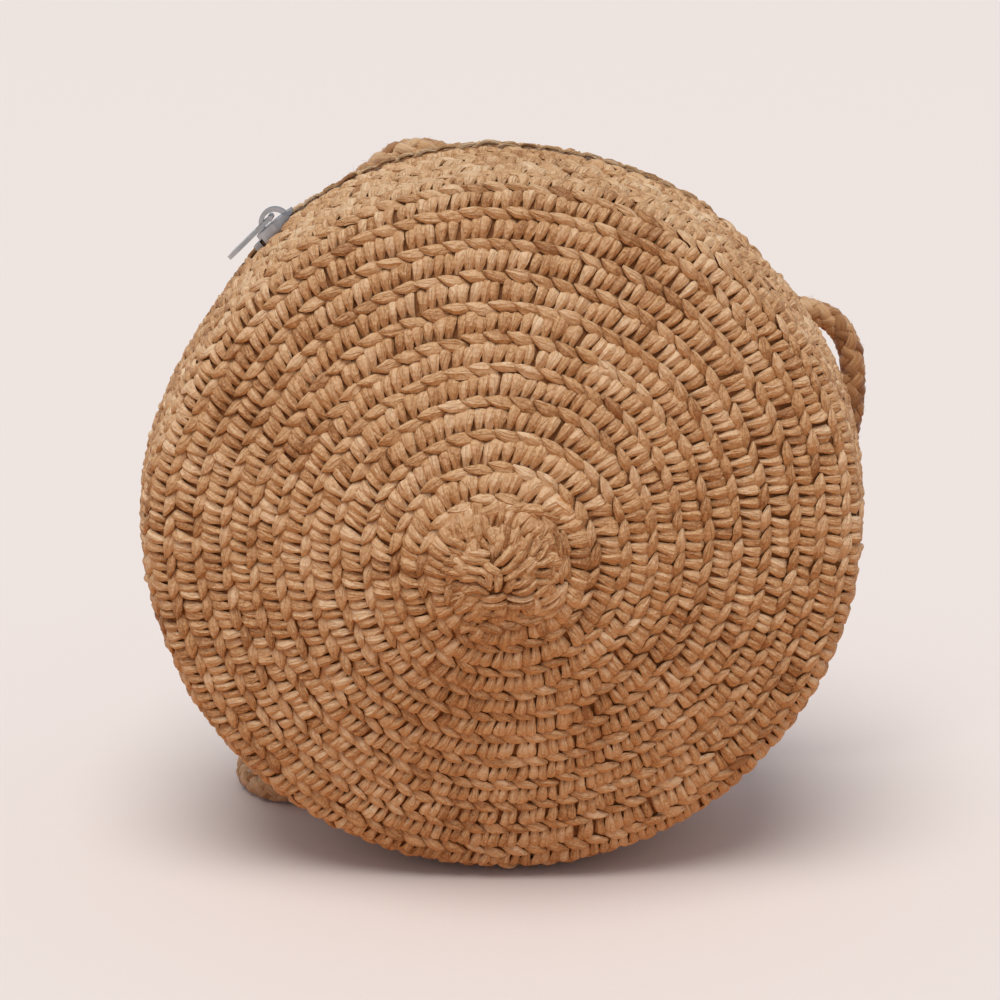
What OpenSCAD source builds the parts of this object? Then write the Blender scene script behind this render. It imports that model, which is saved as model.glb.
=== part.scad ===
// Round shoulder bag crocheted from paper straw.
// Two domed cups stand back to back and are joined by a crocheted band. An arched
// coil zip closes the top, a cotton lining hangs inside, and a braided rope strap
// is knotted behind two holes in the rim of the back cup.
// The front faces -Y, +X is to the right of the front and +Z is up. The bag stands
// on Z = 0, and the origin lies under its middle. Lengths are in millimetres.

/* [Bag] */
// Diameter over the crest of the side wall
bag_d = 180; // [150:1:210]
// Slope of the domed faces
dome_deg = 20; // [14:1:24]
// Radius of the rounded tip of each dome
tip_r = 30; // [20:1:40]
// Radius where each dome rounds over into the side wall
rim_r = 12; // [10:0.5:15]
// Width of the side wall of one cup, along its slant
side_w = 22; // [18:0.5:28]
// Outward flare of the side wall towards the middle of the bag
flare_deg = 8; // [3:0.5:10]
// Thickness of the crocheted wall
wall = 4; // [3.2:0.1:4.6]
// Width of the gap between the cups, which the band and the zip fill
band_w = 10; // [10:0.5:13]
// Depth of the flat that the bag stands on
foot_sag = 2; // [1:0.1:2.4]
// Width of one crocheted row
row_w = 7.35; // [6:0.05:9]
// Depth of the groove between two rows
groove = 0.9; // [0.4:0.1:1.3]

/* [Lining] */
// Thickness of the cotton lining
lining_t = 0.8; // [0.5:0.1:1.2]
// Room left between sewn layers
fit = 0.1; // [0.05:0.05:0.2]

/* [Zip] */
// Angle from the top to the left end of the chain
zip_left_deg = 41.5; // [34:0.5:44]
// Angle from the top to the right end of the chain
zip_right_deg = 46.5; // [36:0.5:48]
// Thickness of the woven tape
tape_t = 0.6; // [0.4:0.05:0.7]
// Distance from the middle of the zip to the hidden edge of each tape
tape_w = 14; // [11:0.5:16]
// Depth of the face of the tape below the crest
tape_sink = 3.2; // [2.8:0.1:3.4]
// Gap between the two coils, where the post of the slider runs
zip_slot = 1.6; // [1.4:0.1:1.8]
// Width of each coil
coil_w = 2.3; // [1.9:0.1:2.4]
// Height of each coil above the tape
coil_h = 1.8; // [1.6:0.1:2.1]
// Distance between two loops of a coil
coil_pitch = 2.2; // [1.8:0.1:3]
// Width of a loop along the zip
loop_w = 1.2; // [0.8:0.1:1.4]
// Length of each metal stop along the zip
stop_l = 2; // [1.4:0.1:2.6]
// Thickness of the metal of the stops
stop_t = 0.85; // [0.6:0.05:1]

/* [Slider] */
// Length of the slider
slider_l = 10.4; // [8.5:0.1:12]
// Thickness of its two plates
plate_t = 1; // [0.8:0.1:1.2]
// Running gap round the coils and the tape
run_gap = 0.35; // [0.25:0.05:0.4]
// Thickness of the side flanges
flange_t = 0.75; // [0.6:0.05:0.8]
// Width of the post between the plates
post_w = 0.9; // [0.7:0.1:1]
// Length of the post
post_l = 1.6; // [1.2:0.1:2]
// Thickness of the bail that carries the puller
bail_t = 1.1; // [0.9:0.1:1.3]
// Width of the bail
bail_w = 2.2; // [1.8:0.1:2.4]
// Inner radius of the bail
bail_r = 2.8; // [2.6:0.1:3.2]

/* [Puller] */
// Length of the puller from its bar to its tip
puller_l = 14.5; // [12:0.5:20]
// Width of the puller at its tip
puller_w = 6.6; // [6.2:0.1:8]
// Thickness of the puller
puller_t = 1; // [0.9:0.1:1.2]
// Diameter of the bar that hangs in the bail
bar_d = 1.4; // [1.2:0.1:1.6]
// Width of the two arms beside the bail
arm_w = 1.2; // [0.9:0.1:1.5]
// Angle at which the puller leans in towards the slider at rest
puller_lean_deg = 6; // [3:0.5:6.5]

/* [Strap] */
// Diameter of the braided rope
rope_d = 7; // [5:0.1:7]
// Room round the rope in its holes
hole_gap = 0.4; // [0.2:0.05:0.8]
// Angle from the top to each strap hole
strap_deg = 56; // [54:0.5:60]
// Distance of each strap hole from the rounded rim, along the face of the dome
hole_in = 6; // [5.5:0.5:12]
// Radius of the loops of each stopper knot
knot_r = 4.3; // [3.8:0.1:5]

/* [Rolled strap] */
// Sideways place of the roll
roll_x = 5; // [0:1:10]
// Distance of the roll behind the middle of the bag
roll_y = 108; // [108:1:116]
// Radius of the innermost turn
roll_r = 31.5; // [30:0.5:36]
// Room between two turns
roll_gap = 0.6; // [0.5:0.05:1]
// Number of turns, wound in and out again
roll_turns = 2.5; // [2.5]
// Thickness of the tie round the roll
tie_t = 0.8; // [0.5:0.1:1]
// Width of the tie
tie_w = 4; // [3:0.5:6]

/* [Hidden] */
$fn = 96;

straw = "#B98A5E";
cotton = "#D9CDBB";
rope = "#CDB793";
tape = "#6F665C";
nylon = "#57504A";
metal = "#9C9EA3";

// Places of the cup's profile, as [radius, distance from the middle of the bag]
bag_r = bag_d / 2;
centre_z = bag_r - foot_sag;
edge = band_w / 2;
side_turn = 90 - flare_deg;
rim_end = [bag_r - side_w * sin(flare_deg), edge + side_w * cos(flare_deg)];
rim_c = rim_end - rim_r * [sin(side_turn), cos(side_turn)];
face_end = rim_c + rim_r * [sin(dome_deg), cos(dome_deg)];
tip_end_r = tip_r * sin(dome_deg);
face_l = (face_end[0] - tip_end_r) / cos(dome_deg);
tip_end_y = face_end[1] + face_l * sin(dome_deg);
dome_y = tip_end_y + tip_r * (1 - cos(dome_deg));

// Lengths along the profile, from the tip of the dome outwards
tip_l = tip_r * dome_deg * PI / 180;
rim_l = rim_r * (side_turn - dome_deg) * PI / 180;
tip_s = tip_l;
face_s = tip_s + face_l;
rim_s = face_s + rim_l;
edge_s = rim_s + side_w;
rows = round(edge_s / row_w);
row_step = edge_s / rows;
row_points = 6;
arc_points = 6;
arc_shares = [for (i = [1 : arc_points]) i / arc_points];

// Radii of the layers at the middle of the bag
inner_r = bag_r - wall / cos(flare_deg);
lining_gap = tape_t + 2 * fit;
lining_in = wall + lining_gap + lining_t;

// Sections of the zip, measured out from its middle
slot_y = zip_slot / 2;
coil_y = slot_y + coil_w;
tape_top_r = bag_r - tape_sink;
tape_low_r = tape_top_r - tape_t;
ramp_top_y = coil_y + tape_t;
ramp_low_y = edge - tape_t;
coil_low_r = tape_top_r + fit;
coil_top_r = tape_top_r + coil_h;
slot_edge_y = edge + tape_t;

// Angles along the zip
stop_deg = stop_l / bag_r * 180 / PI;
tail_deg = 1.5 * stop_deg;
play_deg = run_gap / bag_r * 180 / PI;
loop_deg = coil_pitch / bag_r * 180 / PI;
loops = floor((zip_left_deg + zip_right_deg) / loop_deg) - 1;
slider_deg = slider_l / 2 / bag_r * 180 / PI;
slider_rest_deg = -zip_left_deg + slider_deg + play_deg;
slider_travel_deg = zip_right_deg - slider_deg - play_deg - slider_rest_deg;

// Radii of the slider
top_plate_r = coil_top_r + run_gap;
top_face_r = top_plate_r + plate_t;
low_plate_r = tape_low_r - run_gap;
low_face_r = low_plate_r - plate_t;
channel_y = coil_y + run_gap;
flange_y = channel_y + flange_t;
low_plate_y = coil_y - run_gap / 2;
bar_r = top_face_r + bar_d / 2 + puller_t / 2;
arm_y = bail_w / 2 + run_gap;
eye_l = bail_r + bail_t + 2 * run_gap;

// Strap holes and the rolled part of the strap
hole_d = rope_d + 2 * hole_gap;
hole = profile(face_s - hole_in);
knot_off = lining_in + fit;
turn_pitch = rope_d + roll_gap;
roll_z = rope_d / 2 + tie_t + 5 * fit;
roll_layer = rope_d + 5 * fit;
roll_out_r = roll_r + turn_pitch * roll_turns / 2;
turn_rings = 24;
run_sides = 8;
roll_sides = 6;
tie_gap = 3 * fit;

// Route of the free rope from the right hole to the roll
right_route = [
    [63, 45.6, 129.8], [66.6, 51.5, 128.7], [71.6, 55.3, 127.6], [77.3, 57, 126.7],
    [83, 57.2, 125.7], [87.9, 56.7, 123.9], [91.6, 55.9, 120.6], [93.9, 55.2, 115.9],
    [94.9, 54.5, 110.2], [95, 53.8, 104.2], [94.5, 53.1, 98], [93.1, 52.5, 91.5],
    [89.6, 51.6, 85.3],
    [84.3, 50.3, 80], [78, 49, 75.3], [71.5, 48.2, 70.6], [65, 48.3, 65.5],
    [59.3, 49.3, 59.3], [54.7, 51, 52], [51.3, 53, 44], [48.8, 55.5, 35.5],
    [47.2, 58.5, 27], [46.3, 63, 18.8], [46, 69.5, 12], [46, 77.5, 8], [46, 86, 7.2]
];
// Route of the free rope from the left hole to the roll
left_route = [
    [-62.7, 44.8, 130.2], [-65, 52.3, 131.8], [-65.4, 59.2, 136.2], [-61.8, 62.8, 143],
    [-55, 61.3, 149.3], [-47.4, 57, 154], [-40.2, 51.5, 158.8], [-33.3, 45.8, 164.6],
    [-26.6, 41.8, 169.6], [-19.2, 41.4, 170.5], [-12.7, 44.6, 167.4],
    [-8.8, 49.4, 161], [-7.8, 54.8, 152], [-10.5, 58.6, 141.5], [-15.7, 59.8, 130.5],
    [-22.5, 59, 118.5], [-29.5, 57.6, 105.5], [-36, 56.6, 92], [-41.6, 56.3, 78],
    [-46.2, 56.8, 64], [-50, 57.4, 50.5], [-54, 57.8, 37.5], [-58.6, 56.2, 25],
    [-63.4, 51.3, 14], [-67.2, 43.5, 6.8], [-68.8, 34, 3.8], [-66.9, 24.8, 3.7],
    [-60.8, 17.9, 3.7], [-52.3, 16.3, 3.7], [-44.7, 20.2, 3.7], [-40.7, 28.3, 3.7],
    [-39.8, 39, 3.7], [-39.8, 52, 3.7], [-39, 65, 3.8], [-37.8, 77.5, 4.2],
    [-36.6, 89.5, 4.7]
];

// Point of the cup's profile and the direction of its outward normal, at a
// distance s along the profile from the tip
function profile(s) =
    s < tip_s ? tip_arc(s / tip_l * dome_deg)
    : s < face_s ? let(u = s - tip_s)
        [tip_end_r + u * cos(dome_deg), tip_end_y - u * sin(dome_deg), dome_deg]
    : s < rim_s ? rim_arc(dome_deg + (s - face_s) / rim_l * (side_turn - dome_deg))
    : let(u = s - rim_s)
        [rim_end[0] + u * sin(flare_deg), rim_end[1] - u * cos(flare_deg), side_turn];
function tip_arc(turn) =
    [tip_r * sin(turn), dome_y - tip_r * (1 - cos(turn)), turn];
function rim_arc(turn) =
    [rim_c[0] + rim_r * sin(turn), rim_c[1] + rim_r * cos(turn), turn];

// The same point moved out by off along its normal
function skin(s, off) = let(p = profile(s))
    [p[0] + off * sin(p[2]), p[1] + off * cos(p[2])];

// Depth of the row's surface under its crest, at a share of the row's width
function dip(row_share) = groove * (1 - sin(180 * row_share));

// Smooth line at one offset, from the tip to the end of the rounded rim
function dome_line(off) = concat(
    [skin(0, off)],
    [for (share = arc_shares) skin(tip_s * share, off)],
    [skin(face_s, off)],
    [for (share = arc_shares) skin(face_s + rim_l * share, off)]);

// Ridged line of the crocheted rows, from the tip to the open edge
row_line = concat(
    [for (row = [0 : rows - 1]) for (i = [0 : row_points - 1])
        skin((row + i / row_points) * row_step, -dip(i / row_points))],
    [[bag_r - groove / cos(flare_deg), edge]]);

// Radius of a layer of the side wall at a distance y from the middle
function side_layer_r(y, depth) =
    inner_r - depth - max(y - edge, 0) * tan(flare_deg);

function reversed(list) = [for (i = [len(list) - 1 : -1 : 0]) list[i]];
function unit(v) = v / norm(v);
function mirrored(list) = [for (p = list) [p[0], -p[1]]];

// Turns a profile of [radius, distance from the middle] about the axis of the bag,
// between two angles that are measured clockwise from the top
module around(from_deg, to_deg) {
    translate([0, 0, centre_z])
        rotate([-90, 0, 0])
            rotate([0, 0, from_deg - 90])
                rotate_extrude(angle = to_deg - from_deg)
                    children();
}

module all_around() {
    translate([0, 0, centre_z])
        rotate([-90, 0, 0])
            rotate_extrude()
                children();
}

// Frame on the zip at an angle from the top: X along the zip, Z outwards, with the
// origin on the axis of the bag
module on_zip(deg) {
    translate([0, 0, centre_z])
        rotate([0, deg, 0])
            children();
}

// Frame on the face of the back cup at a strap hole: Z out of the hole
module at_hole(side) {
    translate([0, 0, centre_z])
        rotate([0, side * strap_deg, 0])
            translate([0, hole[1], hole[0]])
                rotate([dome_deg - 90, 0, 0])
                    children();
}

// Closed skin over a row of rings that have equally many points
module swept(rings) {
    sides = len(rings[0]);
    last = len(rings) - 1;
    walls = [for (i = [0 : last - 1]) for (k = [0 : sides - 1])
        let(n = (k + 1) % sides, a = i * sides, b = a + sides)
        each [[a + k, b + k, a + n], [a + n, b + k, b + n]]];
    caps = [[for (k = [0 : sides - 1]) k],
        [for (k = [sides - 1 : -1 : 0]) last * sides + k]];
    polyhedron(points = [for (ring = rings) each ring], faces = concat(walls, caps));
}

module below_floor() {
    translate([-bag_d, -bag_d, -bag_d])
        cube([2 * bag_d, 2 * bag_d, bag_d]);
}

// One crocheted cup: dome, rounded rim and half of the side wall
module cup() {
    difference() {
        all_around()
            polygon(concat(row_line, [[inner_r, edge]], reversed(dome_line(-wall))));
        below_floor();
    }
}

module strap_holes() {
    for (side = [-1, 1])
        at_hole(side)
            translate([0, 0, -2 * lining_in])
                cylinder(h = 3 * lining_in, d = hole_d);
}

module front_cup() {
    color(straw)
        rotate([0, 0, 180])
            cup();
}

module back_cup() {
    color(straw)
        difference() {
            cup();
            strap_holes();
        }
}

// Crocheted row that joins the two cups, from one end of the zip round to the other
module joining_band() {
    crest = [for (i = [0 : row_points])
        [bag_r - dip(i / row_points), edge - band_w * i / row_points]];
    color(straw)
        difference() {
            around(zip_right_deg + tail_deg + play_deg,
                    360 - zip_left_deg - tail_deg - play_deg)
                polygon(concat(crest, [[inner_r, -edge], [inner_r, edge]]));
            below_floor();
        }
}

// Round panel of the lining, which follows the inside of a cup
module lining_panel() {
    all_around()
        polygon(concat(dome_line(-wall - lining_gap),
                reversed(dome_line(-lining_in))));
}

module lining_front() {
    color(cotton)
        rotate([0, 0, 180])
            lining_panel();
}

module lining_back() {
    color(cotton)
        difference() {
            lining_panel();
            strap_holes();
        }
}

// Strip of lining round the side wall, with a slot where it is sewn to the zip
module lining_side() {
    outside = [skin(rim_s, -wall - lining_gap), [inner_r - lining_gap, edge]];
    inside = [skin(rim_s, -lining_in), [inner_r - lining_gap - lining_t, edge]];
    color(cotton)
        difference() {
            all_around()
                polygon(concat(outside, reversed(mirrored(outside)),
                        mirrored(inside), reversed(inside)));
            around(-zip_left_deg - tail_deg, zip_right_deg + tail_deg)
                polygon([[tape_top_r, slot_edge_y], [tape_top_r, -slot_edge_y],
                        [tape_top_r - wall - lining_in, -slot_edge_y],
                        [tape_top_r - wall - lining_in, slot_edge_y]]);
        }
}

// Back half of the zip tape: a raised strip under the coil, and a wing that is sewn
// under the edge of the cup
module zip_tape() {
    around(-zip_left_deg - tail_deg, zip_right_deg + tail_deg)
        polygon([[tape_top_r, slot_y], [tape_top_r, ramp_top_y],
                [side_layer_r(edge, fit), ramp_low_y], [side_layer_r(edge, fit), edge],
                [side_layer_r(tape_w, fit), tape_w],
                [side_layer_r(tape_w, fit + tape_t), tape_w],
                [side_layer_r(edge, fit + tape_t), edge],
                [side_layer_r(edge, fit + tape_t), ramp_low_y - tape_t],
                [tape_low_r, ramp_top_y - tape_t], [tape_low_r, slot_y]]);
}

module zip_tape_front() {
    color(tape)
        mirror([0, 1, 0])
            zip_tape();
}

module zip_tape_back() {
    color(tape)
        zip_tape();
}

// Section of a coil at an angle: a share of 1 is the crest of a loop, and 0 the
// valley between two loops
function coil_ring(deg, share) = let(
        chamfer = loop_w / 4,
        inner_y = slot_y + (1 - share) * coil_w / 3,
        top_r = coil_top_r - (1 - share) * coil_h / 4,
        section = [[coil_low_r, coil_y], [top_r - chamfer, coil_y],
            [top_r, coil_y - chamfer], [top_r, inner_y + chamfer],
            [top_r - chamfer, inner_y], [coil_low_r, inner_y]])
    [for (p = section) [p[0] * sin(deg), p[1], centre_z + p[0] * cos(deg)]];

// Back coil of the zip: a row of loops, sewn down along their outer side
module zip_coil(shift_share) {
    crest_deg = loop_deg * loop_w / coil_pitch / 2;
    valley_deg = (crest_deg + loop_deg / 2) / 2;
    steps = [[-valley_deg, 0], [-crest_deg, 1], [crest_deg, 1], [valley_deg, 0]];
    rings = concat(
        [coil_ring(-zip_left_deg + play_deg, 0)],
        [for (i = [0 : loops - 1]) for (step = steps)
            coil_ring(-zip_left_deg + (i + 1 + shift_share) * loop_deg + step[0], step[1])],
        [coil_ring(zip_right_deg - play_deg, 0)]);
    swept(rings);
}

module zip_coil_front() {
    color(nylon)
        mirror([0, 1, 0])
            zip_coil(0);
}

module zip_coil_back() {
    color(nylon)
        zip_coil(1 / 2);
}

// Metal clips, crimped over the inner edge of each tape where the slider stops
module zip_top_stops() {
    clip = [[tape_low_r - fit - stop_t, fit], [coil_top_r - fit, fit],
        [coil_top_r - fit, coil_y], [tape_top_r + fit, coil_y],
        [tape_top_r + fit, slot_y - fit], [tape_low_r - fit, slot_y - fit],
        [tape_low_r - fit, coil_y], [tape_low_r - fit - stop_t, coil_y]];
    color(metal)
        for (side = [0, 1])
            mirror([0, side, 0])
                around(-zip_left_deg - stop_deg, -zip_left_deg)
                    polygon(clip);
}

// Metal staple that holds the two tapes together at the right end of the zip
module zip_bottom_stop() {
    half = [[tape_low_r - fit - stop_t, coil_y], [tape_low_r - fit, coil_y],
        [tape_low_r - fit, slot_y - fit], [tape_top_r + fit, slot_y - fit],
        [tape_top_r + fit, coil_y], [coil_top_r - fit, coil_y]];
    color(metal)
        around(zip_right_deg, zip_right_deg + stop_deg)
            polygon(concat(half, reversed(mirrored(half))));
}

// Outline of the slider from above: a broad nose on the left and a narrower tail
module slider_plan(half_w) {
    nose_r = half_w * 0.9;
    tail_r = half_w * 0.7;
    intersection() {
        translate([-slider_l / 2, -half_w])
            square([slider_l, 2 * half_w]);
        polygon([[-slider_l / 2, -tail_r], [-slider_l / 2 + nose_r / 2, -half_w],
                [0, -half_w], [slider_l / 2 - tail_r / 2, -nose_r],
                [slider_l / 2, -tail_r], [slider_l / 2, tail_r],
                [slider_l / 2 - tail_r / 2, nose_r], [0, half_w],
                [-slider_l / 2 + nose_r / 2, half_w], [-slider_l / 2, tail_r]]);
    }
}

// A curved plate or wall of the slider, between two radii and two distances from
// the middle
module slider_sector(low_r, high_r, low_y, high_y) {
    rotate([-90, 0, 0])
        rotate([0, 0, -90 - slider_deg])
            rotate_extrude(angle = 2 * slider_deg)
                polygon([[low_r, low_y], [high_r, low_y], [high_r, high_y], [low_r, high_y]]);
}

// Zip slider: two plates that grip the coils, joined by a post at the nose, with
// an arched bail on top
module zip_slider() {
    bail_z = top_face_r - plate_t / 2;
    color(metal)
        on_zip(slider_rest_deg) {
            intersection() {
                union() {
                    slider_sector(top_plate_r, top_face_r, -flange_y, flange_y);
                    for (side = [0, 1])
                        mirror([0, side, 0])
                            slider_sector(tape_top_r + run_gap, top_face_r,
                                channel_y, flange_y);
                }
                linear_extrude(2 * bag_r)
                    slider_plan(flange_y);
            }
            intersection() {
                slider_sector(low_face_r, low_plate_r, -low_plate_y, low_plate_y);
                linear_extrude(2 * bag_r)
                    slider_plan(low_plate_y);
            }
            intersection() {
                slider_sector(low_face_r, top_face_r, -post_w / 2, post_w / 2);
                translate([-slider_l / 2, -post_w, 0])
                    cube([post_l, 2 * post_w, 2 * bag_r]);
            }
            translate([0, bail_w / 2, bail_z])
                rotate([90, 0, 0])
                    linear_extrude(bail_w)
                        difference() {
                            circle(r = bail_r + bail_t);
                            circle(r = bail_r);
                            translate([-bail_r - 2 * bail_t, -2 * bail_r])
                                square([2 * bail_r + 4 * bail_t, 2 * bail_r]);
                        }
        }
}

// Puller: a bar that turns in the bail, two arms and a tapered tab
module zip_puller() {
    outer_y = arm_y + arm_w;
    tip_radius = puller_w / 2;
    color(metal)
        on_zip(slider_rest_deg)
            translate([0, 0, bar_r])
                rotate([0, -puller_lean_deg, 0]) {
                    translate([0, outer_y, 0])
                        rotate([90, 0, 0])
                            cylinder(h = 2 * outer_y, d = bar_d);
                    translate([0, 0, -puller_t / 2])
                        linear_extrude(puller_t)
                            difference() {
                                union() {
                                    polygon([[0, -outer_y], [0, outer_y],
                                            [-puller_l + tip_radius, tip_radius],
                                            [-puller_l + tip_radius, -tip_radius]]);
                                    translate([-puller_l + tip_radius, 0])
                                        circle(r = tip_radius);
                                }
                                translate([-eye_l, -arm_y])
                                    square([2 * eye_l, 2 * arm_y]);
                            }
                }
}

// Stopper knot: the rope turns twice round itself inside the lining, and its short
// tail sticks out at the side
module knot(side) {
    color(rope)
        at_hole(side)
            translate([0, 0, -knot_off]) {
                translate([0, 0, -rope_d])
                    cylinder(h = rope_d, d = rope_d);
                translate([0, 0, -rope_d / 2 - fit])
                    rotate_extrude()
                        translate([knot_r, 0])
                            circle(d = rope_d);
                translate([0, 0, -1.3 * rope_d])
                    sphere(d = 1.7 * rope_d);
                translate([0, 0, -1.5 * rope_d])
                    rotate([0, 62 * side, 0])
                        cylinder(h = 2.1 * rope_d, d = 0.9 * rope_d);
            }
}

module strap_knot_left() {
    knot(-1);
}

module strap_knot_right() {
    knot(1);
}

// Tangents of a path, with its two end directions given
function tangents(path, first, last) = [for (i = [0 : len(path) - 1])
    i == 0 ? unit(first)
    : i == len(path) - 1 ? unit(last)
    : unit(path[i + 1] - path[i - 1])];

// Side vectors that turn as little as they can along the path
function carried(v, t) = unit(v - (v * t) * t);
function side_vectors(dirs, start) =
    [for (i = 0, v = carried(start, dirs[0]); i < len(dirs);
            i = i + 1, v = i < len(dirs) ? carried(v, dirs[i]) : v) v];

// A tube of the rope's diameter along a path
module tube(path, first, last, sides) {
    dirs = tangents(path, first, last);
    across = side_vectors(dirs, [0, 0, 1]);
    swept([for (i = [0 : len(path) - 1])
        [for (k = [0 : sides - 1])
            let(a = 360 * (k + 1 / 2) / sides)
            path[i] + rope_d / 2 * (cos(a) * across[i] + sin(a) * cross(dirs[i], across[i]))]]);
}

// Direction out of a strap hole, and a place at a distance off above its mouth
function hole_dir(side) = [sin(dome_deg) * sin(side * strap_deg), cos(dome_deg),
    sin(dome_deg) * cos(strap_deg)];
function hole_at(side, off) = [hole[0] * sin(side * strap_deg), hole[1],
    centre_z + hole[0] * cos(strap_deg)] + off * hole_dir(side);

// Places along the roll, which winds in on the floor and out again on top
function roll_point(turn) = let(
        half = roll_turns / 2,
        r = roll_r + turn_pitch * abs(turn - half),
        climb = min(max(2 * (turn - half) + 1 / 2, 0), 1),
        a = 180 - 360 * turn)
    [roll_x + r * cos(a), roll_y + r * sin(a),
        roll_z + roll_layer * climb * climb * (3 - 2 * climb)];
roll_steps = roll_turns * turn_rings;
roll_turn_points = [for (i = [0 : roll_steps]) roll_point(i / turn_rings)];
roll_in_end = roll_turn_points[0] - [0, rope_d, 0];
roll_out_end = roll_turn_points[roll_steps] - [0, rope_d, 0];
roll_path = concat([roll_in_end], roll_turn_points, [roll_out_end]);
roll_gaps = [for (i = [0 : roll_steps]) for (k = [i + turn_rings / 2 : roll_steps])
    norm(roll_turn_points[i] - roll_turn_points[k]) - rope_d];
echo(least_gap_in_roll = min(roll_gaps));

module strap_left_run() {
    path = concat([hole_at(-1, -knot_off), hole_at(-1, 0)], left_route, [roll_in_end]);
    color(rope)
        tube(path, hole_dir(-1), [0, 1, 0], run_sides);
}

module strap_right_run() {
    path = concat([hole_at(1, -knot_off), hole_at(1, 0)], right_route, [roll_out_end]);
    color(rope)
        tube(path, hole_dir(1), [0, 1, 0], run_sides);
}

module strap_roll() {
    color(rope)
        tube(roll_path, [0, 1, 0], [0, -1, 0], roll_sides);
}

module rounded_rect(size, r) {
    translate([r, 0])
        square([size[0] - 2 * r, size[1]]);
    translate([0, r])
        square([size[0], size[1] - 2 * r]);
    for (x = [r, size[0] - r], y = [r, size[1] - r])
        translate([x, y])
            circle(r = r);
}

// Strip of cotton tied round all the turns of the roll at its back
module strap_tie() {
    inner_w = turn_pitch * roll_turns / 2 - turn_pitch / 4 + rope_d + 2 * tie_gap;
    inner_h = roll_layer + rope_d + 2 * tie_gap;
    color(cotton)
        translate([roll_x + tie_w / 2, roll_y + roll_r - rope_d / 2 - tie_gap,
                roll_z - rope_d / 2 - tie_gap])
            rotate([90, 0, -90])
                mirror([1, 0, 0])
                    linear_extrude(tie_w)
                        difference() {
                            translate([-tie_t, -tie_t])
                                rounded_rect([inner_w + 2 * tie_t, inner_h + 2 * tie_t],
                                    2 * tie_t);
                            rounded_rect([inner_w, inner_h], tie_t);
                        }
}

front_cup();
back_cup();
joining_band();
lining_front();
lining_back();
lining_side();
zip_tape_front();
zip_tape_back();
zip_coil_front();
zip_coil_back();
zip_top_stops();
zip_bottom_stop();
zip_slider();
zip_puller();
strap_knot_left();
strap_knot_right();
strap_left_run();
strap_right_run();
strap_roll();
strap_tie();
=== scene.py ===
"""Looks of a round shoulder bag crocheted from flat paper straw.

The bag stands on the floor at Z = 0 with its front towards -Y. Lengths in the
sections are in millimetres, and the meshes are in metres, in the CAD frame.
"""

import bpy
import numpy as np
from mathutils import Euler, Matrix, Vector


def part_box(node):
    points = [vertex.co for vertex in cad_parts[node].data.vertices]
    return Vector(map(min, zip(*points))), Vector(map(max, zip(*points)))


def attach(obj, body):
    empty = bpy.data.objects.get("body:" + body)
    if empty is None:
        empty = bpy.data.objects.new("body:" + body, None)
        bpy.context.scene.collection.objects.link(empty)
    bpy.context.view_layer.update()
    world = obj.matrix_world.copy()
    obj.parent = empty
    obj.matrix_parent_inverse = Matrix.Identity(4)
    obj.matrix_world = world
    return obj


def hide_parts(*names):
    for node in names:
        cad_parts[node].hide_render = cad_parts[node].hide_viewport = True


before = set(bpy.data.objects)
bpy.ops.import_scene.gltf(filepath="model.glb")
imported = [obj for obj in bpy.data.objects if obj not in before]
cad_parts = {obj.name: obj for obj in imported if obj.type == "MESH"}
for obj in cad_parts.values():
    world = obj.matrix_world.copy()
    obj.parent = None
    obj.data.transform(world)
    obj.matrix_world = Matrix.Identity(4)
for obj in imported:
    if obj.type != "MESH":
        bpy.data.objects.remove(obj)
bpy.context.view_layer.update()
scene = bpy.context.scene

# The camera
# The photograph looks at the front from 16 degrees above the bag's axis, from
# about 0.6 m away, with the bag a little under the middle of the picture.
MM = 0.001
LOOK_AT = np.array([0.0, -25.1, 88.0])
CAMERA_DISTANCE = 600.0
CAMERA_HEIGHT_DEG = 16.0
PICTURE_PX = 1000
FOCAL_PX = 2484.0
BAG_MIDDLE_PX = (501.1, 529.5)
SENSOR_MM = 36.0

height = np.radians(CAMERA_HEIGHT_DEG)
view_direction = np.array([0.0, np.cos(height), -np.sin(height)])
camera_data = bpy.data.cameras.new("camera")
camera_data.sensor_width = SENSOR_MM
camera_data.lens = FOCAL_PX / PICTURE_PX * SENSOR_MM
camera_data.shift_x = (PICTURE_PX / 2 - BAG_MIDDLE_PX[0]) / PICTURE_PX
camera_data.shift_y = (BAG_MIDDLE_PX[1] - PICTURE_PX / 2) / PICTURE_PX
camera = bpy.data.objects.new("camera", camera_data)
camera.location = Vector((LOOK_AT - CAMERA_DISTANCE * view_direction) * MM)
camera.rotation_euler = Euler((np.pi / 2 - height, 0.0, 0.0))
scene.collection.objects.link(camera)
scene.camera = camera

# The strap's rope
# A soft rope of 7 mm, braided from eight beige raffia yarns, four winding each way
# and passing over and under one another. Both ends go through holes in the back cup
# and are knotted inside. The part that the photograph doesn't show is rolled up
# behind the bag.
ROPE_D = 7.0
YARNS_EACH_WAY = 4
BRAID_PITCH = 21.0
YARN_WIDTH = 3.3
YARN_THICKNESS = 2.1
YARN_SWING = 0.42
# Share of the swing that is drawn in, so that the rope keeps its diameter
SWING_IN_SHARE = 0.6
ROPE_RING_STEP = 1.15
YARN_SIDES = 7
# Slow waves of a yarn's angle, radius and width: (depth, length / 2 pi in mm)
ANGLE_WAVE, RADIUS_WAVE, WIDTH_WAVE = (0.05, 9.3), (0.09, 5.7), (0.07, 4.1)
YARN_TONES = (0.2, 0.8)
# Each yarn, and each way of winding, takes its fibres from another part of the pattern
YARN_UV_SHIFT, WAY_UV_SHIFT = 37.0, 160.0
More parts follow.
